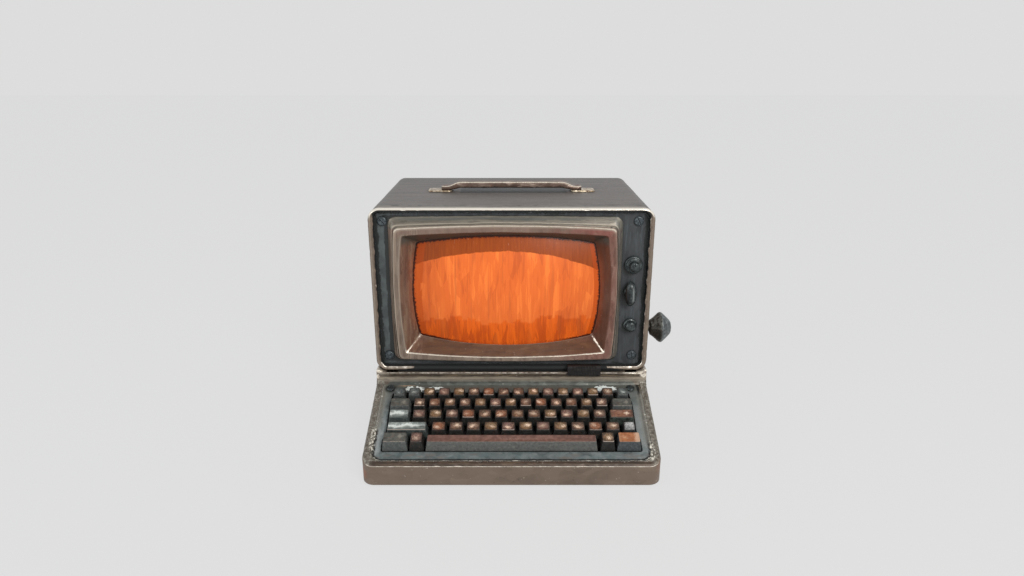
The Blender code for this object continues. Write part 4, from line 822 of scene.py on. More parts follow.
M_SIDE_KNOB = worn("side_knob_finish", srgb(34, 34, 33), srgb(52, 52, 49), srgb(74, 74, 70), (5.0, 5.0, 5.0), edge=srgb(138, 144, 142),
                   dark=srgb(22, 22, 21), rough=0.4, metal=0.3, extra=side_knob_extra, seed=18.0, edge_mm=1.2, edge_amount=0.35, gap_mm=3.0,
                   chips=0.6, wear_metal=0.5)
M_SCREW = worn("screw_finish", srgb(40, 46, 49), srgb(60, 68, 72), srgb(86, 95, 99), (3.0, 3.0, 3.0), edge=srgb(142, 154, 158),
               dark=srgb(14, 16, 17), rough=0.4, metal=0.35, seed=20.0, edge_mm=0.6, edge_amount=0.6, gap_mm=2.4, chips=0.4, wear_metal=0.5)
M_LATCH = worn("latch_finish", srgb(12, 11, 11), srgb(22, 19, 18), srgb(38, 34, 32), (14.0, 4.0, 3.0), edge=srgb(58, 54, 52),
               dark=srgb(8, 9, 9), rough=0.5, metal=0.2, seed=19.0, edge_amount=0.35, gap_mm=2.0, chips=0.3)


def key_material(name, top, top_high, front, front_high, glint, glint_size, style="plain", rim_dark=0.75, speck=0.5, variety=1.0, front_low=srgb(24, 24, 23), fleck=0.35):
    """Caps with a painted highlight in the middle, darker towards the edges, with dark sides and painted shade in the
    gaps.
    Styles place the painted highlight: in the middle, as a long wavy streak, at the right, as grit, or nearly none."""
    p = Paint(name)
    crown = p.attr("crown")
    u, v, seed = p.attr("cap_u"), p.attr("cap_v"), p.attr("cap_seed")
    shifted = p.node("ShaderNodeCombineXYZ")
    p.link(p.mul(seed, 37.0), shifted.inputs[0])
    p.link(p.mul(seed, -21.0), shifted.inputs[1])
    p.link(p.mul(seed, 11.0), shifted.inputs[2])
    moved = p.vec("ADD", p.place(), shifted.outputs[0])
    fine = p.noise((1.7, 1.7, 1.7), 4.0, 0.68, 0.6, v=moved)
    soft = p.noise((5.0, 5.0, 5.0), 3.0, 0.6, v=moved, shift=4.0)
    grain = p.noise((9.0, 1.3, 1.3), 3.0, 0.6, v=moved, shift=6.0)
    hair = p.noise((1.15, 1.15, 1.15), 3.0, 0.75, 1.6, v=moved, shift=12.0)
    hue = p.math("FRACT", p.mul(seed, 7.31))
    face = p.mix(p.band(soft, 0.36, 0.64), top, top_high)
    if variety:
        face = p.mix(p.mul(p.band(hue, 0.78, 0.9), 0.75 * variety), face, srgb(124, 72, 42))
        face = p.mix(p.mul(p.band(hue, 0.36, 0.22), 0.6 * variety), face, srgb(112, 88, 54))
        face = p.mix(p.mul(p.mul(p.band(hue, 0.5, 0.56), p.band(hue, 0.74, 0.68)), 0.6 * variety), face, srgb(108, 80, 74))
    if style == "right":        # paler at the right end, worn at the left edge
        face = p.mix(p.mul(p.band(p.add(u, p.mul(p.sub(fine, 0.5), 0.8)), 0.36, 0.78), 0.8), face, srgb(190, 160, 136))
        face = p.mix(p.mul(p.band(p.add(u, p.mul(p.sub(fine, 0.5), 0.6)), -0.66, -0.95), 0.6), face, srgb(176, 130, 96))
    if style == "bar":          # long smears
        face = p.mix(p.mul(p.band(grain, 0.5, 0.66), 0.5), face, top_high)
        face = p.mix(p.mul(p.band(grain, 0.44, 0.34), 0.5), face, srgb(84, 62, 54))
    # noisy flecks, light and dark
    face = p.mix(p.mul(p.band(hair, 0.55, 0.68), speck * 0.9), face, p.mix(0.3, glint, top_high))
    face = p.mix(p.mul(p.band(hair, 0.46, 0.34), speck * 1.3), face, srgb(36, 29, 25))
    side, _ = tones(p, front_low, front, front_high, (3.0, 3.0, 3.0), 3.0, 0.8)
    side = p.mix(p.mul(p.band(hair, 0.57, 0.7), fleck * 0.8), side, srgb(96, 84, 74))
    side = p.mix(p.mul(p.band(soft, 0.56, 0.66), fleck * 0.7), side, srgb(62, 46, 38))
    side = p.mix(p.mul(p.band(hair, 0.45, 0.35), fleck), side, srgb(12, 12, 12))
    # towards the edges of the top the colour sinks
    reach = p.max(p.abs(u), p.abs(v)) if style in ("bar", "streak", "right", "plain") else p.math("SQRT", p.add(p.mul(u, u), p.mul(v, v)))
    sink = p.band(p.add(reach, p.mul(p.sub(fine, 0.5), 0.5)), 0.62, 1.02)
    face = p.mix(p.mul(sink, rim_dark), face, srgb(40, 33, 29))
    colour = p.mix(p.band(p.add(crown, p.mul(p.sub(fine, 0.5), 0.35)), 0.3, 0.6), side, face)
    du = p.add(p.mul(p.sub(hue, 0.5), 0.75), u)
    dv = p.add(p.mul(p.sub(p.math("FRACT", p.mul(seed, 3.77)), 0.5), 0.6), v)
    strength = p.band(p.math("FRACT", p.mul(seed, 5.13)), 0.0, 0.8, (0.3, 1.0))
    if style == "streak":
        wave = p.mul(p.sub(p.noise((7.0, 7.0, 7.0), 3.0, 0.7, v=moved, shift=9.0), 0.5), 2.2)
        lane = p.add(p.abs(p.add(p.sub(v, 0.12), wave)), p.mul(p.sub(fine, 0.5), 0.5))
        lane = p.add(lane, p.band(u, 0.15, 0.95, (0.0, 0.42)))
        painted_glint = p.mul(p.band(lane, 0.46, 0.14), 0.95)
        halo = p.mul(p.band(lane, 1.1, 0.3), 0.5)
    elif style == "grit":
        painted_glint = p.mul(p.band(p.add(fine, p.mul(p.sub(1.0, p.math("SQRT", p.add(p.mul(du, du), p.mul(dv, dv)))), 0.12)), 0.50, 0.66), 0.8)
        halo = p.mul(p.band(soft, 0.4, 0.6), 0.4)
    elif style == "bar":
        painted_glint = p.mul(p.band(p.add(p.abs(p.sub(u, 0.45)), p.add(p.mul(p.abs(dv), 0.5), p.mul(p.sub(fine, 0.5), 0.9))), glint_size, 0.02), 0.9)
        halo = p.mul(p.band(grain, 0.5, 0.7), 0.2)
    else:
        away = p.math("SQRT", p.add(p.mul(du, du), p.mul(dv, dv)))
        tilt = p.mul(p.sub(p.math("FRACT", p.mul(seed, 13.3)), 0.5), 0.9)
        away = p.math("SQRT", p.add(p.mul(p.mul(du, du), 1.3), p.mul(p.math("POWER", p.add(dv, p.mul(du, tilt)), 2.0), 2.1)))
        blot = p.add(away, p.add(p.mul(p.sub(fine, 0.5), 2.3), p.mul(p.sub(hair, 0.5), 2.6)))
        painted_glint = p.mul(p.band(blot, glint_size, glint_size * 0.1), strength)
        halo = p.mul(p.band(p.add(away, p.mul(p.sub(hair, 0.5), 1.8)), 0.85, 0.2), p.mul(strength, 0.16))
    # the painted highlight: a glint with a soft halo, only on the flat of the top
    flat = p.band(crown, 0.6, 0.9)
    colour = p.mix(p.mul(halo, flat), colour, p.mix(0.55, top_high, glint))
    painted_glint = p.mul(painted_glint, flat)
    colour = p.mix(painted_glint, colour, glint)
    # a thin light line along the near edge of some tops
    near_edge = p.mul(p.mul(p.band(crown, 0.3, 0.5), p.band(crown, 0.97, 0.8)), p.band(v, -0.7, -0.9))
    line = p.mul(near_edge, p.band(p.add(p.mul(hair, 0.6), p.math("FRACT", p.mul(seed, 9.7))), 1.02, 1.2))
    colour = p.mix(p.mul(line, 0.65), colour, srgb(164, 148, 138))
    # painted shade in the gaps between caps
    gap = p.crevice(5.0, 5)
    shade_and_dirt = p.band(p.add(gap, p.mul(p.sub(fine, 0.5), 0.4)), 0.46, 0.78)
    colour = p.mix(p.mul(shade_and_dirt, 0.92), colour, srgb(18, 19, 19))
    rough = p.lerp(painted_glint, 0.46, 0.26)
    p.bump(p.add(p.add(fine, p.mul(grain, 0.5)), p.mul(painted_glint, -0.5)), 0.35 if variety else 0.15, 0.25)
    return p.finish(colour, p.lerp(shade_and_dirt, rough, 0.85), p.mul(painted_glint, 0.3), 0.4)


M_KEY_BROWN = key_material("key_brown_finish", srgb(72, 52, 41), srgb(108, 80, 63), srgb(32, 33, 32), srgb(48, 48, 46), srgb(240, 216, 190), 0.54, "middle", speck=0.8, fleck=0.75)
M_KEY_GREY = key_material("key_grey_finish", srgb(58, 64, 64), srgb(84, 90, 87), srgb(58, 62, 61), srgb(78, 83, 80), srgb(196, 202, 196), 0.34,
                          "middle", variety=0.0, rim_dark=0.4, speck=0.28, fleck=0.15, front_low=srgb(44, 48, 47))
M_KEY_DULL = key_material("key_control_finish", srgb(62, 65, 61), srgb(86, 86, 79), srgb(80, 84, 82), srgb(100, 103, 100), srgb(132, 128, 118), 0.4,
                          "bar", variety=0.0, rim_dark=0.35, speck=0.22, fleck=0.1, front_low=srgb(68, 72, 70))
M_KEY_WHITE = key_material("key_shift_finish", srgb(70, 78, 76), srgb(102, 110, 106), srgb(62, 69, 68), srgb(86, 94, 91), srgb(212, 218, 213), 0.85,
                           "streak", variety=0.0, rim_dark=0.3, speck=0.2, fleck=0.15, front_low=srgb(48, 54, 53))
M_KEY_GRIT = key_material("key_repeat_finish", srgb(76, 80, 80), srgb(112, 114, 112), srgb(48, 52, 52), srgb(70, 74, 74), srgb(196, 196, 194), 0.5,
                          "grit", variety=0.0, rim_dark=0.5)
M_KEY_ORANGE = key_material("key_orange_finish", srgb(132, 80, 48), srgb(154, 100, 64), srgb(66, 70, 72), srgb(86, 90, 92), srgb(196, 160, 132), 0.1,
                            "right", variety=0.0, rim_dark=0.15, speck=0.16, fleck=0.1, front_low=srgb(56, 60, 62))
M_SPACE = key_material("space_bar_finish", srgb(88, 62, 54), srgb(112, 82, 72), srgb(88, 90, 87), srgb(104, 104, 100), srgb(150, 124, 112), 0.06,
                       "plain", variety=0.0, rim_dark=0.2, speck=0.16, front_low=srgb(76, 76, 73), fleck=0.05)
M_ENTER = key_material("key_enter_finish", srgb(88, 56, 44), srgb(120, 80, 60), srgb(50, 57, 53), srgb(74, 84, 76), srgb(228, 204, 182), 0.34,
                       "bar", variety=0.0, rim_dark=0.6, speck=0.4)


def plain(name, low, mid, high, size, rough, metal, edge, **more):
    return worn(name, low, mid, high, size, edge=edge, rough=rough, metal=metal, **more)


M_REAR = plain("rear_cover_finish", srgb(90, 80, 71), srgb(100, 89, 79), srgb(108, 97, 87), (30.0, 12.0, 18.0), 0.46, 0.35,
               srgb(206, 190, 172), seed=22.0, gap_mm=2.5, contrast=0.6, blotch=0.12)
M_STEEL = plain("plated_steel_finish", srgb(120, 118, 112), srgb(150, 148, 142), srgb(172, 170, 164), (24.0, 10.0, 10.0), 0.4, 0.8,
                srgb(214, 212, 206), seed=24.0, chips=0.3)
M_DARK_STEEL = plain("switch_plate_finish", srgb(12, 13, 14), srgb(19, 21, 22), srgb(30, 33, 34), (12.0, 8.0, 8.0), 0.6, 0.3,
                     srgb(60, 62, 60), seed=26.0, edge_amount=0.3, chips=0.2)
M_COPPER = plain("winding_finish", srgb(110, 56, 30), srgb(152, 84, 48), srgb(190, 116, 70), (3.0, 40.0, 3.0), 0.36, 0.7,
                 srgb(220, 160, 110), seed=28.0, chips=0.1)
M_RUBBER = plain("rubber_finish", srgb(14, 14, 14), srgb(24, 24, 24), srgb(36, 36, 35), (8.0, 8.0, 8.0), 0.8, 0.0,
                 srgb(58, 58, 56), seed=30.0, chips=0.2, wear_metal=0.0)
M_PLASTIC = plain("moulded_plastic_finish", srgb(18, 18, 19), srgb(28, 28, 30), srgb(40, 40, 42), (10.0, 10.0, 10.0), 0.5, 0.0,
                  srgb(84, 84, 84), seed=32.0, chips=0.15, wear_metal=0.0)


def board_material():
    p = Paint("circuit_board_finish")
    x, y, z = p.axes()
    base, mixed = tones(p, srgb(20, 58, 36), srgb(28, 78, 48), srgb(40, 96, 60), (18.0, 18.0, 18.0), 2.0)
    brick = p.node("ShaderNodeTexVoronoi", distance="CHEBYCHEV", feature="F1")
    p.link(p.sized((7.0, 7.0, 7.0)), brick.inputs["Vector"])
    brick.inputs["Scale"].default_value = 1.0
    track = p.band(p.abs(p.sub(brick.outputs["Distance"], 0.3)), 0.05, 0.02)
    base = p.mix(p.mul(track, 0.7), base, srgb(60, 130, 84))
    pads = p.specks((5.0, 5.0, 5.0), 0.16, 4.0)
    base = p.mix(pads, base, srgb(196, 188, 160))
    dust = p.band(p.noise((20.0, 20.0, 20.0), 4.0, 0.6), 0.5, 0.75)
    base = p.mix(p.mul(dust, 0.35), base, srgb(120, 112, 98))
    p.bump(p.add(track, pads), 0.3, 0.2)
    return p.finish(base, p.lerp(dust, 0.4, 0.8), p.mul(pads, 0.7))


M_BOARD = board_material()


def inlet_material():
    """Black moulding with uncoated metal pins in its recess."""
    p = Paint("inlet_finish")
    x, y, z = p.axes()
    body, mixed = tones(p, srgb(16, 16, 17), srgb(26, 26, 28), srgb(38, 38, 40), (8.0, 8.0, 8.0), 2.0)
    inside = p.mul(p.mul(p.band(y, 203.0, 203.7), p.band(y, 208.6, 208.2)), p.band(p.abs(p.add(x, 105.0)), 8.4, 8.0))
    inside = p.mul(inside, p.band(p.abs(p.sub(z, 42.0)), 5.8, 5.4))
    colour = p.mix(inside, body, srgb(196, 186, 160))
    dust = p.band(p.noise((6.0, 6.0, 6.0), 4.0, 0.6), 0.52, 0.72)
    colour = p.mix(p.mul(dust, 0.3), colour, srgb(110, 104, 96))
    p.bump(p.add(mixed, dust), 0.25, 0.2)
    return p.finish(colour, p.lerp(dust, 0.45, 0.7), p.mul(inside, 0.9))


M_INLET = inlet_material()

# ================================================================ display case
outline, normals = rounded_rect(-HALF_W, HALF_W, CASE_Z0, CASE_Z1, CASE_R, 2.2, 14)
N = len(outline)
profile = [
    (6.0, 11.0), (6.0, 8.6), (6.0, 7.4), (6.0, 5.6), (6.0, 3.6), (6.0, 2.0), (5.85, 1.1), (5.45, 0.5), (4.9, 0.16), (4.2, 0.02),
    (3.4, 0.0), (2.7, 0.08), (2.0, 0.3), (1.35, 0.7), (0.8, 1.3), (0.35, 2.1), (0.1, 3.1), (0.0, 4.3), (0.0, 6.0),
    (0.0, 8.5), (0.0, 11.5), (0.0, 15.0), (0.0, 19.0), (0.0, 24.0), (0.0, 30.0), (0.0, 37.0), (0.0, 45.0),
]
profile += [(0.0, 45.0 + 8.5 * k) for k in range(1, 20)]
profile += [(0.0, 214.0), (0.0, 216.6), (0.25, 218.0), (0.8, 218.8), (1.5, 219.0), (2.3, 218.9), (2.8, 218.4), (3.0, 217.2),
            (3.0, 212.4), (3.0, 209.0), (3.0, 60.0), (3.0, 14.0), (3.2, 11.0)]
top_side = np.clip(normals[:, 1], 0, 1)
low_side = np.clip(-normals[:, 1], 0, 1)
flank = np.abs(normals[:, 0])
ring0 = np.column_stack([outline[:, 0], np.zeros(N), outline[:, 1]])
edge_noise = fbm(ring0, 8.0, 3, 1.0)
edge_fine = fbm(ring0, 3.0, 2, 2.0)
middle = np.exp(-((outline[:, 0] - 5.0) / 45.0) ** 2)
scallop = np.clip(np.sin(outline[:, 0] / 7.5 + 1.2 * edge_noise) * 0.9 - 0.15, 0, 1) * (0.25 + 0.75 * middle)
nicks = np.clip(edge_noise * 1.3 - 0.34, 0, 1) * 1.3
nicks = nicks + 1.6 * np.exp(-((outline[:, 0] + 123.0) / 0.9) ** 2) * (top_side > 0.9)
rows, wear_and_highlight, grime_and_shade, pale = [], [], [], []
for inset, y in profile:
    front = float(step(y, 16.0, 2.0)) if y < 16 else 0.0
    amount = float(step(inset, 3.4, 6.0)) if y < 8.0 and inset > 3.1 else 0.0
    jagged = np.clip(edge_noise * 1.8, -0.8, 1.0) * 0.75 + 0.45 * edge_fine
    shift = amount * jagged * (0.3 + 0.7 * flank)
    narrow = 1.0 - (0.27 * top_side if y < 7.0 else 0.0) + (0.03 * flank if y < 7.0 else 0.0)
    if inset <= 3.1 and y < 8.0:
        shift = shift + nicks * float(step(y, 6.0, 0.6)) * 0.8
    base_in = inset * narrow if inset > 3.1 and y < 12.0 else np.full(N, inset)
    if y < 5.0 and inset <= 3.1:
        base_in = inset * (1.0 - 0.12 * top_side)
    ins = base_in + shift
    ins = np.maximum(ins, 0.0)
    pts = np.column_stack([outline[:, 0] - ins * normals[:, 0], np.full(N, y), outline[:, 1] - ins * normals[:, 1]])
    if inset == 0.0:
        sheet = np.clip(fbm(pts, (55.0, 60.0, 55.0), 2, 5.0), -1, 1)
        depth = 0.22 * (sheet + 0.6)
        long_dent = np.clip(fbm(pts, (22.0, 6.0, 9.0), 2, 7.0) - 0.30, 0, 1)
        depth = depth + long_dent * 1.6 * float(step(abs(y - 20.0), 24.0, 4.0)) * (0.35 + 0.65 * top_side)
        depth = np.clip(depth, 0.0, 1.2) * float(step(y, 2.5, 9.0)) * float(step(y, 219.0, 208.0))
        pts[:, 0] -= depth * normals[:, 0]
        pts[:, 2] -= depth * normals[:, 1]
    rows.append(pts)
    is_front = y < 5 and inset < 5.95
    face = 1.0 if y < 1.4 and 0.7 < inset < 5.7 else 0.0
    line = float(step(inset, 2.7, 1.5)) * float(step(y, 5.2, 3.6)) if is_front else 0.0
    beige = face * math.exp(-((inset - 2.2) / 1.1) ** 2)
    dim = face * math.exp(-((inset - 4.0) / 0.7) ** 2)
    inner = math.exp(-((inset - 5.35) / 0.45) ** 2) if y < 2.2 and inset < 5.95 else 0.0
    upper_face = face * math.exp(-((inset - 4.0) / 1.2) ** 2)
    out_there = step(np.abs(outline[:, 0]) + 5.0 * edge_noise - 8.0 * min(max(4.4 - inset, 0.0), 2.6), 112.0, 118.0)
    left = (outline[:, 0] < 0).astype(float)
    # light lines: worn edges and painted highlight, strongest along the top rim, with light bars at the lower rim's
    # ends
    w = top_side * 1.2 * line
    w = w + flank * (0.10 * line + (0.54 - 0.10 * left) * inner)
    uneven = np.clip(0.80 + 1.1 * edge_fine + 0.8 * edge_noise, 0.1, 1.15)
    w = w + low_side * out_there * (0.44 * upper_face * uneven + 0.62 * inner + 0.30 * math.exp(-((inset - 0.4) / 0.4) ** 2) * is_front)
    wear_and_highlight.append(w)
    # pale: painted highlight over the top rim's face and on the light bars at the lower rim's ends, beige bands on the
    # side rims
    p_all = top_side * (0.95 * line + 0.25 * face * float(step(inset, 2.7, 1.7))) + flank * (0.28 * left + 0.08 * (1 - left)) * beige
    pale.append(np.clip(p_all + low_side * out_there * 0.75 * upper_face * uneven, 0, 1))
    # dark lines of painted shade: in the gap behind the rim, below the top rim's light line, along the side rims and
    # along the middle of the lower rim
    g = np.full(N, 1.0 if inset > 5.9 and 1.2 < y < 12 else 0.0)
    g = np.maximum(g, top_side * 0.95 * float(step(inset, 2.1, 2.9)) * (y < 2))
    g = np.maximum(g, flank * (0.42 + 0.08 * (1 - left)) * dim + flank * 0.44 * (inset < 0.9) * (y < 8.0))
    g = np.maximum(g, flank * 0.85 * (inset > 5.6) * (y < 2.5))
    g = np.maximum(g, low_side * (1 - out_there) * (0.95 * face + 0.95 * (inset > 0.6) * (y < 2) + 0.7 * inner))
    g = np.maximum(g, low_side * out_there * 0.36 * (inset < 2.4) * (y < 5))
    grime_and_shade.append(np.clip(g, 0, 1))
case_v = np.array(rows)
make("case_body", case_v.reshape(-1, 3), grid_faces(len(rows), N, True, True), M_CASE, stands_for=("case_shell",), slot="case_metal",
     attrs={"wear_and_highlight": np.array(wear_and_highlight), "grime_and_shade": np.array(grime_and_shade), "pale": np.array(pale)}, sharp=50)

# ================================================================ screen bezel
def bowed(l, r, b, t, rad, bows, gap_count=(64, 44), corner=8):
    """Rounded rectangle whose four sides bow outwards by (left, right, bottom, top)."""
    pts, tag = [], []
    spots = ((r - rad, b + rad, -90), (r - rad, t - rad, 0), (l + rad, t - rad, 90), (l + rad, b + rad, 180))
    for i, (cx, cz, start) in enumerate(spots):
        for k in range(corner + 1):
            a = math.radians(start + 90 * k / corner)
            pts.append((cx + rad * math.cos(a), cz + rad * math.sin(a)))
            tag.append((i, 1.0 - abs(k / corner - 0.5) * 2))
        nx, nz, ns = spots[(i + 1) % 4]
        end = (nx + rad * math.cos(math.radians(ns)), nz + rad * math.sin(math.radians(ns)))
        last = pts[-1]
        parts = gap_count[1] if i % 2 == 0 else gap_count[0]
        for k in range(1, parts):
            f = k / parts
            pts.append((last[0] + (end[0] - last[0]) * f, last[1] + (end[1] - last[1]) * f))
            tag.append((i, 0.0))
    pts = np.array(pts)
    cx, cz, hw, hh = (l + r) / 2, (b + t) / 2, (r - l) / 2, (t - b) / 2
    dx, dz = (pts[:, 0] - cx) / hw, (pts[:, 1] - cz) / hh
    bow_x = np.where(dx < 0, bows[0], bows[1]) * (1 - dz ** 2)
    bow_z = np.where(dz < 0, bows[2], bows[3]) * (1 - dx ** 2)
    return np.column_stack([pts[:, 0] + dx * bow_x, pts[:, 1] + dz * bow_z]), np.array([t[1] for t in tag]), np.array([t[0] for t in tag])


def face_depth(x, z):
    return 1.4 + (x - SCREEN_X) ** 2 / 920.0 + (z - SCREEN_Z) ** 2 / 386.0


RING_BASE = (-143.0, 128.6, 95.2, 273.4, 9.0, (0.8, 0.9, 2.7, 1.2))
RING_SKIRT = (-142.4, 128.0, 95.8, 272.6, 8.6, (0.9, 1.0, 2.8, 1.4))
RING_CREST = (-135.6, 120.6, 99.3, 260.4, 4.5, (3.6, 3.8, 3.4, 4.2))
RING_LIP = (-127.8, 112.0, 106.3, 251.9, 2.2, (4.7, 6.0, 6.2, 4.4))
RING_GLASS = (-112.9, 98.9, 121.8, 239.2, 4.0, (5.7, 7.3, 9.7, 10.7))


def between(a, b, t):
    bows = tuple(p + (q - p) * t for p, q in zip(a[5], b[5]))
    return tuple(p + (q - p) * t for p, q in zip(a[:5], b[:5])) + (bows,)


bezel_rows, kinds = [], []      # kind: (ring, y or None, crest, lip, funnel)
for ring, y, crest, lip, funnel in (
    (RING_BASE, 7.7, 0, 0, 0), (RING_BASE, 6.9, 0, 0, 0), (RING_SKIRT, 6.2, 0.35, 0, 0),
    (between(RING_SKIRT, RING_CREST, 0.14), 5.0, 0.1, 0, 0), (between(RING_SKIRT, RING_CREST, 0.35), 3.5, 0, 0, 0),
    (between(RING_SKIRT, RING_CREST, 0.58), 2.0, 0.0, 0, 0), (between(RING_SKIRT, RING_CREST, 0.69), 1.35, 0.55, 0, 0),
    (between(RING_SKIRT, RING_CREST, 0.76), 1.45, 0.2, 0, 0), (between(RING_SKIRT, RING_CREST, 0.83), 2.3, 0, 0, 0),
    (between(RING_SKIRT, RING_CREST, 0.90), 2.0, 0, 0, 0), (between(RING_SKIRT, RING_CREST, 0.96), 0.6, 0.6, 0, 0),
    (RING_CREST, 0.05, 1.0, 0, 0),
    (between(RING_CREST, RING_LIP, 0.08), 0.0, 0.9, 0, 0), (between(RING_CREST, RING_LIP, 0.18), 0.08, 0.35, 0, 0),
    (between(RING_CREST, RING_LIP, 0.4), 0.35, 0, 0, 0), (between(RING_CREST, RING_LIP, 0.65), 0.7, 0, 0, 0),
    (between(RING_CREST, RING_LIP, 0.85), 1.0, 0, 0.2, 0), (between(RING_CREST, RING_LIP, 0.95), 1.15, 0, 0.8, 0),
    (RING_LIP, 1.45, 0, 1.0, 0.2),
):
    bezel_rows.append((ring, y))
    kinds.append((crest, lip, funnel))
for k in range(1, 15):
    t = k / 14
    bezel_rows.append((between(RING_LIP, RING_GLASS, t), ("funnel", t)))
    kinds.append((0, max(0.0, 0.5 - t * 7), min(1.0, 0.4 + t * 6)))
verts, wear_and_highlight, grime_and_shade, funnel_tag, bevel_tag, glow_tag, pale_tag = [], [], [], [], [], [], []
for row_number, ((ring, y), (crest, lip, funnel)) in enumerate(zip(bezel_rows, kinds)):
    xz, corner_tag, quadrant = bowed(*ring)
    if isinstance(y, tuple):
        t = y[1]
        end_xz, _, _ = bowed(*RING_GLASS)
        end_y = face_depth(end_xz[:, 0], end_xz[:, 1]) - 0.9
        ys = 1.45 + (end_y - 1.45) * t
    else:
        ys = np.full(len(xz), y)
    pts = np.column_stack([xz[:, 0], ys, xz[:, 1]])
    wavy = fbm(pts, (26.0, 26.0, 26.0), 3, 9.0)
    fine = fbm(pts, (7.0, 7.0, 7.0), 2, 11.0)
    pts[:, 1] += np.where(ys > 0.7, 0.22 * wavy + 0.08 * fine, np.abs(0.1 * wavy))
    if row_number in (1, 2, 3):      # chewed outer edge
        chew = fbm(pts, (4.5, 4.5, 4.5), 3, 17.0) * 0.9
        pts[:, 0] -= np.sign(pts[:, 0] + 7.0) * np.clip(chew, 0, 0.9) * (np.abs(pts[:, 0] + 7.0) > 128)
        pts[:, 2] -= np.sign(pts[:, 2] - 180.5) * np.clip(chew, 0, 0.9) * (np.abs(pts[:, 2] - 180.5) > 82)
    centre = np.array((-7.0, 180.5))
    out = np.stack([pts[:, 0] - centre[0], pts[:, 2] - centre[1]], 1)
    out /= np.linalg.norm(out, axis=1)[:, None]
    pts[:, 0] += out[:, 0] * (0.35 * wavy + 0.12 * fine) * (0.0 if crest and y and not isinstance(y, tuple) and y > 6 else 1.0)
    pts[:, 2] += out[:, 1] * (0.35 * wavy + 0.12 * fine) * (0.0 if crest and y and not isinstance(y, tuple) and y > 6 else 1.0)
    pts[:, 1] = np.maximum(pts[:, 1], 0.0)
    verts.append(pts)
    cx, cz = (ring[0] + ring[1]) / 2, (ring[2] + ring[3]) / 2
    nz = (xz[:, 1] - cz) / ((ring[3] - ring[2]) / 2)
    nx = (xz[:, 0] - cx) / ((ring[1] - ring[0]) / 2)
    is_top, is_low = step(nz, 0.93, 0.99), step(-nz, 0.93, 0.99)
    is_left, is_right = step(-nx, 0.93, 0.99), step(nx, 0.93, 0.99)
    # light lines: worn edges and painted highlight, brightest on top of the crest and along the lower lip, and down the
    # funnel's lower corners
    w = crest * (0.66 * is_top + 0.18 * is_left + 0.12 * is_right) * (row_number > 10)
    w = w + lip * (1.0 * is_low + 0.3 * is_left + 0.12 * is_right)
    t = y[1] if isinstance(y, tuple) else 0.0
    if isinstance(y, tuple):
        low_corner = ((quadrant == 0) | (quadrant == 3)) & (corner_tag > 0.45)
        w = np.maximum(w, np.where(low_corner, 0.72 * np.clip(corner_tag * 1.2, 0, 1) * (1 - 0.25 * t), 0.0))
        if t > 0.97:
            w = np.maximum(w, 0.42 * is_low)
    wear_and_highlight.append(w)
    # painted shade: on the upper funnel, deep at the glass, beneath the bezel's outer foot and in the groove outside
    # the crest
    g = np.zeros(len(xz))
    if isinstance(y, tuple):
        g = is_top * (0.2 + 0.25 * t) + (0.75 if t > 0.96 else 0.0) * (1 - 0.7 * is_low)
    elif y > 4.5:
        g = 0.62 * is_low + 0.36 * is_left * (y > 6) + 0.2 * is_right * (y > 6.5)
    elif 8 <= row_number <= 10:      # the groove outside the crest
        g = (0.22, 0.38, 0.30)[row_number - 8] * (1.0 * is_top + 0.7 * is_left + 0.6 * is_right)
    grime_and_shade.append(g)
    funnel_tag.append(np.full(len(xz), float(funnel)))
    bevel_tag.append(np.full(len(xz), 1.0 if row_number < 10 else 0.0))
    glow_tag.append(np.full(len(xz), float(step(t, 0.45, 1.0))) * np.maximum(is_left, is_right))
    # pale: painted highlight along the top of the crest, fainter on its sides, and on the left of the lip
    pale_tag.append(np.clip(crest * (1.0 * is_top + 0.38 * is_left + 0.2 * is_right), 0, 1) * 0.95 + 0.4 * lip * is_left)
count = len(verts[0])
back = []
for grow, push in ((2.0, 1.2), ):
    xz = verts[-1][:, [0, 2]]
    out = xz - np.array((-7.0, 180.5))
    out /= np.linalg.norm(out, axis=1)[:, None]
    back.append(np.column_stack([xz[:, 0] + out[:, 0] * grow, verts[-1][:, 1] - 0.2, xz[:, 1] + out[:, 1] * grow]))
xz, _, _ = bowed(*between(RING_CREST, RING_LIP, 0.7))
back.append(np.column_stack([xz[:, 0], np.full(count, 7.6), xz[:, 1]]))
# the hidden back rows are painted dark as shade
for extra_row in back:
    verts.append(extra_row)
    wear_and_highlight.append(np.zeros(count))
    grime_and_shade.append(np.ones(count))
    funnel_tag.append(np.ones(count))
    bevel_tag.append(np.zeros(count))
    glow_tag.append(np.zeros(count))
    pale_tag.append(np.zeros(count))
make("bezel_moulding", np.array(verts).reshape(-1, 3), grid_faces(len(verts), count, True, True), M_BEZEL, stands_for=("screen_bezel",),
     slot="bezel_metal", attrs={"wear_and_highlight": np.array(wear_and_highlight), "grime_and_shade": np.array(grime_and_shade), "funnel": np.array(funnel_tag),
                                "bevel": np.array(bevel_tag), "glow": np.array(glow_tag), "pale": np.array(pale_tag)}, sharp=38)

# ================================================================ picture tube
tube_flat, _ = rounded_rect(-122.0, 122.0, -74.0, 74.0, 14.0, 7.0, 8)


def tube_ring(half_w, half_h, y, roundness):
    ring = []
    for a, b in tube_flat:
        angle = math.atan2(b / 74.0, a / 122.0)
        px = SCREEN_X + half_w * (a / 122.0 * (1 - roundness) + math.cos(angle) * roundness)
        pz = SCREEN_Z + half_h * (b / 74.0 * (1 - roundness) + math.sin(angle) * roundness)
        ring.append((px, float(face_depth(px, pz)) if y is None else y, pz))
    return ring


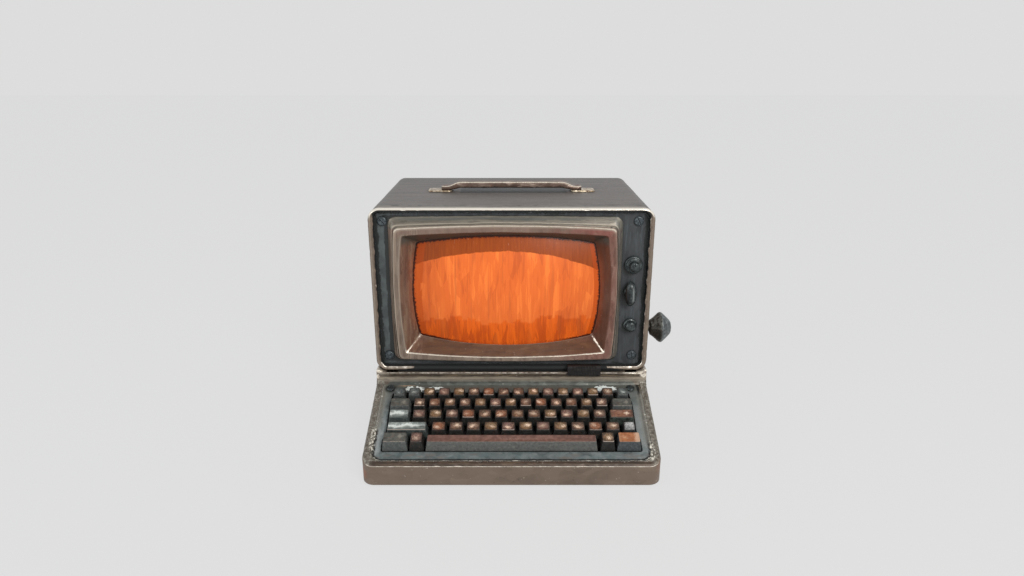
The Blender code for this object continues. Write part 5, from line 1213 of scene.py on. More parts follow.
tube = [tube_ring(11.0, 11.0, 188.0, 1.0), tube_ring(14.0, 14.0, 184.0, 1.0), tube_ring(14.0, 14.0, 132.0, 1.0),
        tube_ring(19.0, 18.0, 125.0, 1.0), tube_ring(30.0, 27.0, 118.0, 0.95), tube_ring(48.0, 38.0, 106.0, 0.8),
        tube_ring(66.0, 48.0, 94.0, 0.6), tube_ring(88.0, 58.0, 79.0, 0.38), tube_ring(106.0, 66.0, 66.0, 0.2),
        tube_ring(115.0, 70.6, 57.0, 0.07), tube_ring(120.5, 73.0, 50.0, 0.0), tube_ring(122.0, 74.0, 42.0, 0.0),
        tube_ring(122.0, 74.0, 36.6, 0.0)]
for share in (0.995, 0.96, 0.9, 0.8, 0.7, 0.6, 0.5, 0.4, 0.3, 0.2, 0.1, 0.02):
    tube.append(tube_ring(122.0 * share, 74.0 * share, None, 0.0))
tube_v = np.array(tube)
tube_n = len(tube_flat)
tube_f = grid_faces(len(tube), tube_n, wrap_cols=True)
tube_f.append(list(range(tube_n))[::-1])
tube_f.append([(len(tube) - 1) * tube_n + k for k in range(tube_n)])
make("picture_tube_glass", tube_v.reshape(-1, 3), tube_f, M_SCREEN, stands_for=("picture_tube",), slot="screen_glass", sharp=60)

# ================================================================ base
ROUND = 3.4
RECESS_X, RECESS_Y = 157.0, -121.5 * CT


def rim_z(y):
    return SLOPE_Z + SLOPE_TAN * y


def run(a, b, gap):
    parts = max(1, int(round(math.dist(a, b) / gap)))
    return [(a[0] + (b[0] - a[0]) * k / parts, a[1] + (b[1] - a[1]) * k / parts) for k in range(parts)]


def arc(cx, cy, r, start, end, parts):
    return [(cx + r * math.cos(math.radians(start + (end - start) * k / parts)),
             cy + r * math.sin(math.radians(start + (end - start) * k / parts))) for k in range(parts + 1)]


# plan of the front part, from the riser down the right side, round the front, up the left side
def front_path():
    pts, nrm, inner = [], [], []
    for x, y in run((HALF_W, RISER_Y), (HALF_W, -105.0), 2.2):
        pts.append((x, y)), nrm.append((1, 0)), inner.append((RECESS_X, y))
    corner_inner = run((RECESS_X, -105.0), (RECESS_X, RECESS_Y + 1.5), 1.2)[:-1] + arc(RECESS_X - 1.5, RECESS_Y + 1.5, 1.5, 0, -90, 5) + [(151.0, RECESS_Y)]
    lengths = np.cumsum([0] + [math.dist(a, b) for a, b in zip(corner_inner, corner_inner[1:])])
    for k in range(15):
        a = math.radians(-90 * k / 14)
        pts.append((151.0 + 14 * math.cos(a), -105.0 + 14 * math.sin(a)))
        nrm.append((math.cos(a), math.sin(a)))
        target = lengths[-1] * k / 14
        inner.append((float(np.interp(target, lengths, [q[0] for q in corner_inner])),
                      float(np.interp(target, lengths, [q[1] for q in corner_inner]))))
    half = run((151.0, BASE_FRONT), (-151.0, BASE_FRONT), 2.2)[1:]
    for x, y in half:
        pts.append((x, y)), nrm.append((0, -1)), inner.append((x, RECESS_Y))
    right = len(pts) - len(half)
    for k in range(right - 1, -1, -1):
        pts.append((-pts[k][0], pts[k][1]))
        nrm.append((-nrm[k][0], nrm[k][1]))
        inner.append((-inner[k][0], inner[k][1]))
    return np.array(pts, float), np.array(nrm, float), np.array(inner, float)


path, path_n, path_in = front_path()
K = len(path)
fade = step(RISER_Y - path[:, 1], 0.5, 8.0)      # no raggedness where the pieces meet
base_ring = np.column_stack([path, rim_z(path[:, 1])])
rag = fbm(base_ring, (7.0, 7.0, 7.0), 3, 4.0) * fade
rag_fine = fbm(base_ring, (2.8, 2.8, 2.8), 2, 6.0) * fade
side_share = np.abs(path_n[:, 0])
front_share = np.clip(-path_n[:, 1], 0, 1)
rows, wear_and_highlight, grime_and_shade = [], [], []


def base_row(inset, z, w=0.0, g=0.0):
    pts = np.column_stack([path - path_n * np.reshape(inset, (-1, 1)), z])
    rows.append(pts)
    wear_and_highlight.append(np.full(K, 0.0) + w)
    grime_and_shade.append(np.full(K, 0.0) + g)


zeros = np.zeros(K)
base_row(zeros + 3.0, zeros + 4.0)
base_row(zeros + 3.0, zeros + 0.3)
base_row(zeros + 2.5, zeros)
base_row(zeros + 1.5, zeros)
base_row(zeros + 0.6, zeros + 0.25, 0.15)
base_row(zeros + 0.15, zeros + 0.8, 0.15)
base_row(zeros, zeros + 1.8)
top_z = rim_z(path[:, 1]) - ROUND
for k in range(1, 13):
    t = k / 12
    z = 1.8 + (top_z - 1.8) * t
    pts = np.column_stack([path, z])
    swell = np.clip(0.16 * (fbm(pts, (40.0, 40.0, 26.0), 2, 8.0) + 0.7), 0, 0.4) * fade * math.sin(math.pi * min(t, 0.98))
    base_row(swell, z)
dent = np.clip(rag * 1.4 - 0.30, 0, 1) * 1.4
for k in range(1, 9):
    t = k / 8
    # from (0, -R) by the corner (0, 0) to (R, 0), as inset and height below the rim plane at that place
    inset = ROUND * t * t
    drop = ROUND * (1 - t) ** 2
    bite = dent * math.sin(math.pi * t) * 0.7 + 0.12 * rag_fine * math.sin(math.pi * t)
    ins = inset + np.maximum(bite, 0.0) + 0.0 * zeros
    y_here = path[:, 1] - path_n[:, 1] * ins
    z = rim_z(y_here) - drop - np.maximum(bite, 0) * 0.5 * (1 - t)
    # the light line on the front's rounded upper edge: worn edge and painted highlight
    peak = math.exp(-((t - 0.25) / 0.075) ** 2)
    upper_peak = math.exp(-((t - 0.5) / 0.2) ** 2)
    base_row(ins, z, 0.76 * peak * front_share + 0.34 * upper_peak * side_share)
inner_gap = np.sum((path - path_in) * path_n, axis=1)
flat_from = path - path_n * ROUND
for t in (0.12, 0.3, 0.5, 0.68, 0.82, 0.92, 0.98):
    pts = flat_from + (path_in - flat_from) * t
    z = rim_z(pts[:, 1])
    lump = 0.35 * rag * math.sin(math.pi * t) * 0.5
    rows.append(np.column_stack([pts, z - np.clip(0.15 + lump, 0, 0.5) * math.sin(math.pi * t)]))
    wear_and_highlight.append(0.12 * side_share * math.sin(math.pi * t) + 0.05 * front_share)
    grime_and_shade.append(zeros)
wave = 0.12 * rag + 0.1 * rag_fine
toward = path_in - flat_from
toward /= np.maximum(np.linalg.norm(toward, axis=1)[:, None], 1e-6)
edge_in = path_in + toward * np.clip(wave, -0.2, 0.02)[:, None]
rows.append(np.column_stack([edge_in, rim_z(edge_in[:, 1]) - 0.25]))
wear_and_highlight.append(0.1 * side_share + 0.1 * front_share)
grime_and_shade.append(zeros)
# the recess wall painted darker downwards as shade
for down, g in ((0.8, 0.0), (2.2, 0.3), (4.2, 1.0)):
    pts = edge_in
    rows.append(np.column_stack([pts, rim_z(pts[:, 1]) - down]))
    wear_and_highlight.append(zeros)
    grime_and_shade.append(zeros + g)
front_skin = (np.array(rows).reshape(-1, 3), grid_faces(len(rows), K), {"wear_and_highlight": np.array(wear_and_highlight).reshape(-1), "grime_and_shade": np.array(grime_and_shade).reshape(-1)})

# rear part: right side, back, left side
back_pts, back_nrm = [], []
xs_cut = (-120.0, -90.0, 20.0, 76.0)
for q in run((HALF_W, RISER_Y), (HALF_W, 205.0), 6.0):
    back_pts.append(q), back_nrm.append((1, 0))
for k, q in enumerate(arc(151.0, 205.0, 14.0, 0, 90, 12)):
    a = math.radians(90 * k / 12)
    back_pts.append(q), back_nrm.append((math.cos(a), math.sin(a)))
stops = [151.0, 76.0, 20.0, -90.0, -120.0, -151.0]
for a, b in zip(stops, stops[1:]):
    for q in run((a, CASE_BACK), (b, CASE_BACK), 6.0):
        if q[0] < 151.0:
            back_pts.append(q), back_nrm.append((0, 1))
for k, q in enumerate(arc(-151.0, 205.0, 14.0, 90, 180, 12)):
    a = math.radians(90 + 90 * k / 12)
    back_pts.append(q), back_nrm.append((math.cos(a), math.sin(a)))
for q in run((-HALF_W, 205.0), (-HALF_W, RISER_Y), 6.0)[1:] + [(-HALF_W, RISER_Y)]:
    back_pts.append(q), back_nrm.append((-1, 0))
back_pts, back_nrm = np.array(back_pts, float), np.array(back_nrm, float)
BK = len(back_pts)
z_rows = [1.8, 5.0, 9.0, 14.0, 19.0, 24.0, 30.0, 33.0, 37.0, 41.0, 45.0, 49.0, 53.0, 57.0, 61.0, 65.0, 69.7, 74.0, LEDGE_Z - ROUND]
rows, wear_and_highlight, grime_and_shade, pale = [], [], [], []
END = (0, BK - 1)


def rear_row(inset, z, w=0.0, g=0.0, z_is_top=False):
    pts = np.column_stack([back_pts - back_nrm * inset, np.full(BK, z)])
    if z > 70.0 or z_is_top:
        for e in END:
            pts[e, 1] = RISER_Y + 2.2
    rows.append(pts)
    wear_and_highlight.append(np.full(BK, w))
    grime_and_shade.append(np.full(BK, g))
    pale.append(np.full(BK, 0.85 if z_is_top and back_pts[0, 0] and inset < 20 else 0.0) * step(60.0 - back_pts[:, 1], 0.0, 30.0))


rear_row(3.0, 4.0), rear_row(3.0, 0.3), rear_row(2.5, 0.0), rear_row(1.5, 0.0), rear_row(0.6, 0.25), rear_row(0.15, 0.8)
for z in z_rows:
    rear_row(0.0, z)
# the ledge's rounded edge lightened as worn edge and painted highlight; its top painted pale near the front as lit
# corners, and dark as shade further back beneath the case
for k in range(1, 7):
    t = k / 6
    rear_row(ROUND * t * t, LEDGE_Z - ROUND * (1 - t) ** 2, 0.8 * math.exp(-((t - 0.5) / 0.25) ** 2), 0.0, True)
for inset in (5.0, 8.0, 12.0, 18.0, 26.0):
    rear_row(inset, LEDGE_Z, 0.5 if inset < 13 else 0.0, 0.0 if inset < 13 else 0.8, True)
faces = grid_faces(len(rows), BK)
stack = np.array(rows).reshape(-1, 3)
HOLES = ((-120.0, -90.0, 30.0, 53.0), (20.0, 76.0, 33.0, 49.0))


def in_hole(face):
    c = stack[list(face)].mean(0)
    return any(x0 < c[0] < x1 and z0 < c[2] < z1 and c[1] > 218.0 for x0, x1, z0, z1 in HOLES)


faces = [f for f in faces if not in_hole(f)]
rear_skin = (stack, faces, {"wear_and_highlight": np.array(wear_and_highlight).reshape(-1), "grime_and_shade": np.array(grime_and_shade).reshape(-1), "pale": np.array(pale).reshape(-1)})
jambs = []
for x0, x1, z0, z1 in HOLES:
    v = [(x, y, z) for y in (CASE_BACK, 216.0) for x, z in ((x0, z0), (x1, z0), (x1, z1), (x0, z1))]
    jambs.append((np.array(v), [(0, 4, 5, 1), (1, 5, 6, 2), (2, 6, 7, 3), (3, 7, 4, 0)], {}))

# riser between the keyboard slope and the ledge, with a cove at its foot
xs = sorted(set([round(-163.0 + 2.0 * k, 3) for k in range(164)] + [-157.1, -156.7, 156.7, 157.1]) - {-157.0, 157.0})
rows, wear_and_highlight, grime_and_shade, pale = [], [], [], []
columns = [(x, 0.0) for x in xs]
bend = [(HALF_W - 2.2 + 2.2 * math.sin(math.radians(a)), 2.2 * (1 - math.cos(math.radians(a)))) for a in (18, 36, 54, 72, 90)]
columns = [(-x, d) for x, d in reversed(bend)] + columns + bend
# light lines of worn edges and painted highlight on the cove's upper part and the upper edge, pale on the face and at
# the lit ends, painted shade at the cove's foot and on the ledge going back beneath the case
for level in range(20):
    row, w_row, g_row, p_row = [], [], [], []
    for x, back_by in columns:
        deep = abs(x) < 156.9
        face_low = 73.4
        if level < 8:               # the cove, a quarter turn
            a = math.radians(90 * level / 7)
            reach = 4.6
            y = RISER_Y - reach * (1 - math.sin(a))
            low = SLOPE_Z + SLOPE_TAN * (RISER_Y - reach) - (2.3 if deep else 0.15)
            z = low + (face_low - low) * (1 - math.cos(a))
            w, g, q = 0.0, (0.3 if level == 0 and deep else 0.0), 0.0
            if level >= 6:
                w, q = 0.24, 0.35
        elif level < 13:            # the upright face
            t = (level - 7) / 5
            y, z = RISER_Y, face_low + (LEDGE_Z - 1.3 - face_low) * t
            w, g, q = (0.28, 0.16, 0.05, 0.0, 0.0)[level - 8], 0.0, (0.50, 0.28, 0.0, 0.0, 0.0)[level - 8]
            if level >= 10:
                g = 0.12
        elif level < 17:            # its upper edge
            a = math.radians(90 * (level - 12) / 4)
            y, z = RISER_Y + 1.3 * (1 - math.cos(a)), LEDGE_Z - 1.3 + 1.3 * math.sin(a)
            w, g, q = (0.3, 0.58, 0.58, 0.3)[level - 13], 0.0, 0.1
        else:
            y, z = RISER_Y + (2.4, 5.0, 24.0)[level - 17], LEDGE_Z
            w, g, q = (0.1, 0.0, 0.0)[level - 17], (0.3, 0.7, 1.0)[level - 17], 0.0
        row.append((x, y + back_by, z))
        out_there = float(step(abs(x), 146.0, 157.0)) if x < 0 else float(step(x, 128.0, 150.0))
        w_row.append(w + out_there * (0.18 if level >= 12 else 0.06))
        g_row.append(g * (1 - out_there))
        p_row.append(max(q, out_there * (0.35 if level >= 12 else 0.05)))
    rows.append(row)
    wear_and_highlight.append(w_row)
    grime_and_shade.append(g_row)
    pale.append(p_row)
riser = np.array(rows)
flatness = fbm(riser.reshape(-1, 3), (9.0, 9.0, 9.0), 3, 14.0).reshape(riser.shape[:2])
shape_fade = np.array([step(165.0 - abs(x), 2.5, 8.0) for x, _ in columns])
riser[:, :, 1] += 0.25 * flatness * shape_fade[None, :] * (np.arange(20)[:, None] < 17)
riser_skin = (riser.reshape(-1, 3), grid_faces(20, len(columns)),
              {"wear_and_highlight": np.array(wear_and_highlight).reshape(-1), "grime_and_shade": np.array(grime_and_shade).reshape(-1), "pale": np.array(pale).reshape(-1)})
# side rails of the ledge, hollowed to the case's round lower corners
RAIL = [(150.0, 79.5), (150.0, 82.0), (152.0, 82.14), (154.0, 82.43), (156.0, 83.02), (158.0, 83.98), (160.0, 85.38), (161.0, 86.2), (161.8, 86.5),
        (163.2, 86.5), (164.1, 86.3), (164.65, 85.8), (164.9, 85.0), (164.9, 83.0), (164.9, 81.0), (164.9, 79.5)]
RAIL_Y = [(-4.42, 1.0), (-4.2, 0.55), (-3.7, 0.2), (-2.8, 0.0)] + [(5.0 + 12.0 * k, 0.0) for k in range(16)] + [(198.0, 0.1), (199.0, 0.4), (199.6, 1.0)]
rails = []
for side in (-1, 1):
    rows, wear_and_highlight, pale = [], [], []
    for y, tuck in RAIL_Y:
        row = []
        for x, z in RAIL:
            crest = float(step(z, 82.5, 85.5))
            outer = float(step(x, 163.0, 164.9))
            wob = 0.18 * math.sin(0.31 * y + 2.0 * side) * crest
            row.append((side * (x - tuck * 0.8 * outer), y, z - tuck * crest - 0.2 * crest + wob))
            # the crest lightened as worn edge and painted highlight; pale at the front end and along the crest
            wear_and_highlight.append((0.5 if z > 84.0 else 0.15) if y < 190.0 else 0.1)
            pale.append(0.35 if y < 0.0 else 0.2 * crest)
        rows.append(row)
    faces = grid_faces(len(rows), len(RAIL), wrap_cols=True)
    faces.append(list(range(len(RAIL)))[::-1])
    faces.append([(len(rows) - 1) * len(RAIL) + k for k in range(len(RAIL))])
    rails.append((np.array(rows).reshape(-1, 3), faces, {"wear_and_highlight": np.array(wear_and_highlight), "grime_and_shade": np.zeros(len(wear_and_highlight)), "pale": np.array(pale)}))


def outward(part, centre):
    """The same part with its faces turned away from a point."""
    v, part_faces, part_attrs = part
    total = 0.0
    for face in part_faces:
        q = v[list(face)]
        area_normal = sum(np.cross(q[i], q[(i + 1) % len(q)]) for i in range(len(q)))
        total += float((q.mean(0) - centre) @ area_normal)
    return (v, [tuple(reversed(face)) for face in part_faces], part_attrs) if total < 0 else part


middle = np.array((0.0, 40.0, 30.0))
skins = [outward(part, middle) for part in (front_skin, rear_skin, riser_skin)]
rails = [outward(part, part[0].mean(0)) for part in rails]
base_v, base_f, base_a = merge(skins + jambs + rails)
make("base_body", base_v, base_f, M_CASE, stands_for=("base_tub",), slot="case_metal", attrs=base_a, sharp=45,
     closed=False, inside=(0.0, 40.0, 30.0))

# ================================================================ keyboard deck
# the opening follows the block of keys, a little wider at each row's own ends
LEFT_EDGE = ((-107.7, -145.9), (-90.0, -145.9), (-87.5, -143.4), (-70.5, -143.4), (-68.5, -143.9), (-37.0, -144.6), (-19.6, -142.9))
RIGHT_EDGE = ((-107.7, 145.9), (-90.0, 145.9), (-87.5, 142.7), (-70.5, 142.9), (-68.5, 143.3), (-37.0, 143.5), (-19.6, 141.2))


def opening_x(x, s):
    table = LEFT_EDGE if x < 0 else RIGHT_EDGE
    edge = np.interp(s, [q[0] for q in table], [q[1] for q in table])
    return x / 145.0 * abs(edge)


inner, _, _ = bowed(-145.0, 145.0, -107.6, -19.7, 2.6, (0, 0, 0, 0), (120, 60), 6)
inner = np.array([(opening_x(x, s), s) for x, s in inner])
outer, _, _ = bowed(-156.8, 156.8, -121.3, -4.6, 1.6, (0, 0, 0, 0), (120, 60), 6)


def tray_out(xs_):
    qx = np.abs(xs_[:, 0]) - (TRAY_X - TRAY_R)
    qs = np.abs(xs_[:, 1] - (TRAY_S0 + TRAY_S1) / 2) - ((TRAY_S1 - TRAY_S0) / 2 - TRAY_R)
    return np.hypot(np.maximum(qx, 0), np.maximum(qs, 0)) + np.minimum(np.maximum(qx, qs), 0) - TRAY_R


rows, wear_and_highlight, grime_and_shade = [], [], []
ladder = [(0.0, -4.0), (0.0, -3.0), (0.012, -2.35), (0.05, -2.05), (0.1, -2.0), (0.22, -2.0), (0.36, -2.0), (0.48, -2.0), (0.58, -2.0), (0.66, -2.0),
          (0.73, -2.0), (0.79, -2.0), (0.85, -2.0), (0.9, -2.0), (0.95, -2.0), (0.985, -2.0), (1.0, -2.25), (1.0, -3.6), (1.0, -4.0)]
for t, n in ladder:
    xs_ = inner + (outer - inner) * t
    ripple = fbm(np.column_stack([xs_, np.zeros(len(xs_))]), (24.0, 24.0, 24.0), 3, 31.0)
    nibble = fbm(np.column_stack([xs_, np.zeros(len(xs_))]), (2.6, 2.6, 2.6), 2, 33.0)
    level = np.full(len(xs_), n)
    if -2.2 < n:
        level = level - np.clip(0.18 + 0.25 * ripple, 0, 0.5) * math.sin(math.pi * min(max(t, 0.02), 0.98))
    if t > 0.3 and n > -3.0:
        rise = step(tray_out(xs_) + 0.5 * nibble, -2.2, 1.2) * step(-xs_[:, 1], 4.0, 12.0)
        level = level + rise * np.clip(-0.4 - level, 0.0, 1.7)
    if t < 0.06:
        way = outer - inner
        way /= np.linalg.norm(way, axis=1)[:, None]
        xs_ = xs_ + way * np.clip(0.25 * nibble, 0, 0.3)[:, None]
    rows.append([slope(x, s, k) for (x, s), k in zip(xs_, level)])
    # a faint light line at the opening's edge, and painted shade down into the opening for the keys
    wear_and_highlight.append(np.full(len(xs_), 0.12 if 0.0 < t < 0.06 else 0.0))
    grime_and_shade.append(np.full(len(xs_), 1.0 if t == 0.0 or n < -3.8 else 0.32 if t < 0.02 else 0.0))
make("deck_sheet", np.array(rows).reshape(-1, 3), grid_faces(len(rows), len(inner), True, True), M_DECK, stands_for=("keyboard_deck",),
     slot="deck_paint", attrs={"wear_and_highlight": np.array(wear_and_highlight), "grime_and_shade": np.array(grime_and_shade)}, sharp=40)


# ================================================================ keys
def cap_mesh(left, right, s, seed, wobble=True, front=5.4, back=6.1, foot_back=6.95):
    """A tapered cap with a dished, softly worn top."""
    rnd = random.Random(seed)
    rings, attrs = [], {"crown": [], "cap_u": [], "cap_v": [], "cap_seed": []}
    mx = (left + right) / 2
    half_w, half_d = (right - left) / 2, (front + back) / 2
    centre = (back - front) / 2
    lean_x = rnd.uniform(-0.012, 0.012) if wobble else 0.0
    lean_s = rnd.uniform(-0.014, 0.014) if wobble else 0.0
    sink = rnd.uniform(0.0, 0.25) if wobble else 0.05
    wide = half_w > 8
    gap = 3.0 if wide else 1.6

    def ring(hw, hd_front, hd_back, n, r, crown):
        r = min(r, hw * 0.9, (hd_front + hd_back) / 2 * 0.9)
        out = []
        spots = ((hw - r, -hd_front + r, -90), (hw - r, hd_back - r, 0), (-hw + r, hd_back - r, 90), (-hw + r, -hd_front + r, 180))
        counts = (6, max(4, int(2 * half_w / gap)), 6, max(4, int(2 * half_w / gap)))
        for i, (cx, cs, start) in enumerate(spots):
            for k in range(4):
                a = math.radians(start + 90 * k / 3)
                out.append((cx + r * math.cos(a), cs + r * math.sin(a)))
            nx, ns, st = spots[(i + 1) % 4]
            end = (nx + r * math.cos(math.radians(st)), ns + r * math.sin(math.radians(st)))
            last = out[-1]
            for k in range(1, counts[i]):
                f = k / counts[i]
                out.append((last[0] + (end[0] - last[0]) * f, last[1] + (end[1] - last[1]) * f))
        pts = []
        for dx, ds in out:
            u, v = dx / half_w, ds / half_d
            height = n
            if crown >= 0.5:
                bowl = max(0.0, 1 - (min(abs(u), 1.0) ** (6 if wide else 2.4))) * max(0.0, 1 - min(abs(v), 1.0) ** 2.2)
                height = n - 0.62 * bowl
            height += lean_x * dx * 0.5 + lean_s * ds - sink
            pts.append(slope(mx + dx, s + ds + centre, min(height, 9.0)))
            attrs["crown"].append(crown)
            attrs["cap_u"].append(u)
            attrs["cap_v"].append(v)
            attrs["cap_seed"].append(0.13 + (seed % 97) / 97.0 * 0.84)
        rings.append(pts)

    for t, r in ((0.0, 1.0), (0.25, 1.0), (0.5, 1.1), (0.72, 1.2), (0.88, 1.3)):
        n = -3.5 + 12.5 * t
        ring(half_w + 2.1 * (1 - t), half_d + (8.35 - front) * (1 - t), half_d + (foot_back - back) * (1 - t), n, r, 0.0)
    ring(half_w + 0.12, half_d + 0.2, half_d + 0.12, 8.3, 1.4, 0.25)
    ring(half_w - 0.12, half_d - 0.08, half_d - 0.1, 8.72, 1.4, 0.5)
    ring(half_w - 0.55, half_d - 0.5, half_d - 0.5, 8.95, 1.3, 0.8)
    ring(half_w - 1.1, half_d - 1.05, half_d - 1.05, 9.0, 1.2, 1.0)
    for share in (0.7, 0.42, 0.15):
        side_in = (half_w - 1.1) - (half_d - 1.05) * (1 - share)
        ring(max(side_in, 0.6), (half_d - 1.05) * share, (half_d - 1.05) * share, 9.0, 0.8 * share, 1.0)
    n = len(rings[0])
    faces = grid_faces(len(rings), n, wrap_cols=True)
    faces.append(list(range(n))[::-1])
    faces.append([(len(rings) - 1) * n + k for k in range(n)])
    return np.array(rings).reshape(-1, 3), faces, {k: np.array(v) for k, v in attrs.items()}


def slope_box(x0, x1, s0, s1, n0, n1):
    v = [slope(x, s, n) for n in (n0, n1) for s in (s0, s1) for x in (x0, x1)]
    f = [(0, 2, 3, 1), (4, 5, 7, 6), (0, 1, 5, 4), (2, 6, 7, 3), (0, 4, 6, 2), (1, 3, 7, 5)]
    return np.array(v), f, {}


ROW_S = (-28.0, -44.7, -62.0, -80.3, -97.6)
ROW_KEYS = ((-97.9, 17.7, 13), (-107.8, 17.8, 13), (-106.6, 18.95, 12), (-82.6, 19.75, 11))
for row, (first, pitch, count) in enumerate(ROW_KEYS):
    half = (pitch - 1.4) / 2 - 2.1
    caps = [cap_mesh(first + pitch * k - half, first + pitch * k + half, ROW_S[row], 101 * row + 7 * k + 3) for k in range(count)]
    bar = slope_box(first - 5.0, first + pitch * (count - 1) + 5.0, ROW_S[row] - 2.2, ROW_S[row] + 0.8, -15.5, -2.4)
    v, f, a = merge(caps + [bar])
    make("keys_of_row_%d" % (row + 1), v, f, M_KEY_BROWN, body="keys_row_%d" % (row + 1), stands_for=("keys_row_%d" % (row + 1),),
         slot="key_brown", attrs=a, sharp=40)
ODD = (
    ("key_escape", 0, -139.4, -127.2, M_KEY_GREY, "key_grey"), ("key_local", 0, -121.8, -109.6, M_KEY_GREY, "key_grey"),
    ("key_delete", 0, 126.3, 138.0, M_KEY_GREY, "key_grey"), ("key_tab", 1, -141.3, -120.2, M_KEY_DULL, "key_grey"),
    ("key_backspace", 1, 118.9, 140.4, M_KEY_DULL, "key_grey"), ("key_lock", 2, -140.5, -119.0, M_KEY_WHITE, "key_grey"),
    ("key_enter", 2, 114.0, 140.1, M_ENTER, "key_brown"), ("key_shift", 3, -140.2, -97.3, M_KEY_WHITE, "key_grey"),
    ("key_repeat", 3, 127.6, 139.4, M_KEY_GRIT, "key_grey"), ("key_control", 4, -142.8, -118.0, M_KEY_DULL, "key_grey"),
    ("key_left_function", 4, -112.4, -100.0, M_KEY_BROWN, "key_brown"), ("space_bar", 4, -93.9, 94.1, M_SPACE, "key_brown"),
    ("key_right_function", 4, 101.4, 114.0, M_KEY_BROWN, "key_brown"), ("key_break", 4, 119.8, 142.9, M_KEY_ORANGE, "key_orange"),
)
for number, (name, row, left, right, mat, slot) in enumerate(ODD):
    shape = (4.75, 4.75, 6.95) if name == "space_bar" else (4.75, 8.3, 8.5) if row == 4 else (5.4, 6.1, 6.95)
    cap = cap_mesh(left, right, ROW_S[row], 29 * number + 11, name != "space_bar", *shape)
    reach = 60.0 if name == "space_bar" else 3.0
    middle = (left + right) / 2
    stem = slope_box(middle - reach, middle + reach, ROW_S[row] - 2.2, ROW_S[row] + 0.8, -15.5, -2.4)
    v, f, a = merge([cap, stem])
    make(name + "_cap", v, f, mat, body=name, stands_for=(name,), slot=slot, attrs=a, sharp=40)


# ================================================================ knobs
def knurl(count, depth, rows):
    def swell(a, i):
        return 1.0 + (depth * (0.5 + 0.5 * math.cos(a * count)) - depth if i in rows else 0.0)
    return swell


DIAL = (143.2, 216.2)
v, f = revolve(
    [(-6.2, 0.6), (-6.2, 2.6), (-6.0, 4.0), (-5.5, 4.9), (-4.6, 5.7), (-3.0, 5.95), (0.2, 6.25), (0.8, 6.4), (0.95, 7.2), (1.1, 8.4), (1.5, 8.9),
     (2.4, 9.15), (3.2, 9.2), (3.35, 9.6), (3.6, 10.3), (4.1, 10.7), (5.4, 10.7), (7.2, 10.7), (7.6, 10.5), (7.6, 3.0), (20.0, 3.0)],
    "y", DIAL, 72, knurl(24, 0.045, (4, 5, 6, 14, 15, 16, 17)))
dial = make("brightness_knob_turned", v, f, M_KNOB, body="brightness_knob", stands_for=("brightness_knob",), slot="knob_metal", sharp=28)
carve(dial, [box_mesh(DIAL[0] - 0.55, DIAL[0] + 0.55, -8.0, -5.3, DIAL[1] + 0.8, DIAL[1] + 8.0)])

TRIM = (143.0, 140.5)
v, f = revolve(
    [(-2.6, 0.5), (-2.6, 3.0), (-2.4, 4.3), (-1.9, 5.4), (-1.0, 6.3), (0.4, 6.8), (3.6, 7.0), (4.0, 7.3), (4.4, 8.1), (5.0, 8.4), (7.2, 8.4),
     (7.6, 8.2), (7.6, 3.0), (20.0, 3.0)], "y", TRIM, 60, knurl(15, 0.06, (3, 4, 5, 6)))
trim = make("contrast_knob_turned", v, f, M_KNOB, body="contrast_knob", stands_for=("contrast_knob",), slot="knob_metal", sharp=28)
carve(trim, [box_mesh(TRIM[0] - 0.5, TRIM[0] + 0.5, -4.0, -1.9, TRIM[1] + 0.6, TRIM[1] + 7.0)])

SEL = (140.5, 182.4)
v, f = revolve([(1.8, 0.5), (1.8, 5.4), (2.2, 6.0), (3.2, 7.1), (3.8, 7.7), (4.4, 8.0), (7.2, 8.0), (7.6, 7.8), (7.6, 3.0), (20.0, 3.0)],
               "y", SEL, 56, knurl(28, 0.03, (4, 5, 6)))
hub = (v, f, {})
# the wing: a rounded grip standing across the hub
rows = []
for k in range(25):
    t = -1 + 2 * k / 24
    z = 15.8 * t
    taper = max(0.02, (1 - abs(t) ** 2.4)) ** 0.5
    half_x = 6.6 * (0.12 + 0.88 * taper ** 1.3) if abs(t) < 1 else 0.6
    front = -7.4 * taper + 1.2 * (1 - taper)
    row = []
    for q in range(16):
        a = 2 * math.pi * q / 16
        c, s = math.cos(a), math.sin(a)
        px = half_x * math.copysign(abs(c) ** 1.2, c)
        py = (front + 2.6) / 2 + (2.6 - front) / 2 * math.copysign(abs(s) ** 0.9, s)
        row.append((SEL[0] + px, py, SEL[1] + z))
    rows.append(row)
wing_f = grid_faces(25, 16, wrap_cols=True)
wing_f.append(list(range(16))[::-1])
wing_f.append([24 * 16 + q for q in range(16)])
v, f, a = merge([hub, (np.array(rows).reshape(-1, 3), wing_f, {})])
selector = make("selector_knob_turned", v, f, M_KNOB, body="selector_knob", stands_for=("selector_knob",), slot="knob_metal", sharp=34)

SIDE = (33.0, 127.5)
v, f = revolve(
    [(150.0, 3.0), (165.7, 3.0), (165.7, 4.9), (166.4, 5.0), (170.8, 5.0), (171.5, 5.6), (172.2, 8.0), (172.9, 9.6), (174.6, 10.7), (177.2, 12.6),
     (180.2, 15.3), (182.2, 17.2), (183.4, 18.2), (184.5, 18.8), (185.7, 18.95), (186.8, 18.5), (188.6, 17.0), (191.6, 14.2), (195.0, 10.9),
     (196.6, 9.2), (197.6, 7.6), (198.2, 5.6), (198.5, 3.0), (198.5, 0.5)], "x", SIDE, 80,
    lambda a, i: 1.0 - (0.018 * (0.5 + 0.5 * math.cos(a * 20)) if 8 <= i <= 19 else 0.0))
make("side_knob_turned", v, f, M_SIDE_KNOB, body="side_knob", stands_for=("side_knob",), slot="knob_metal", sharp=30)


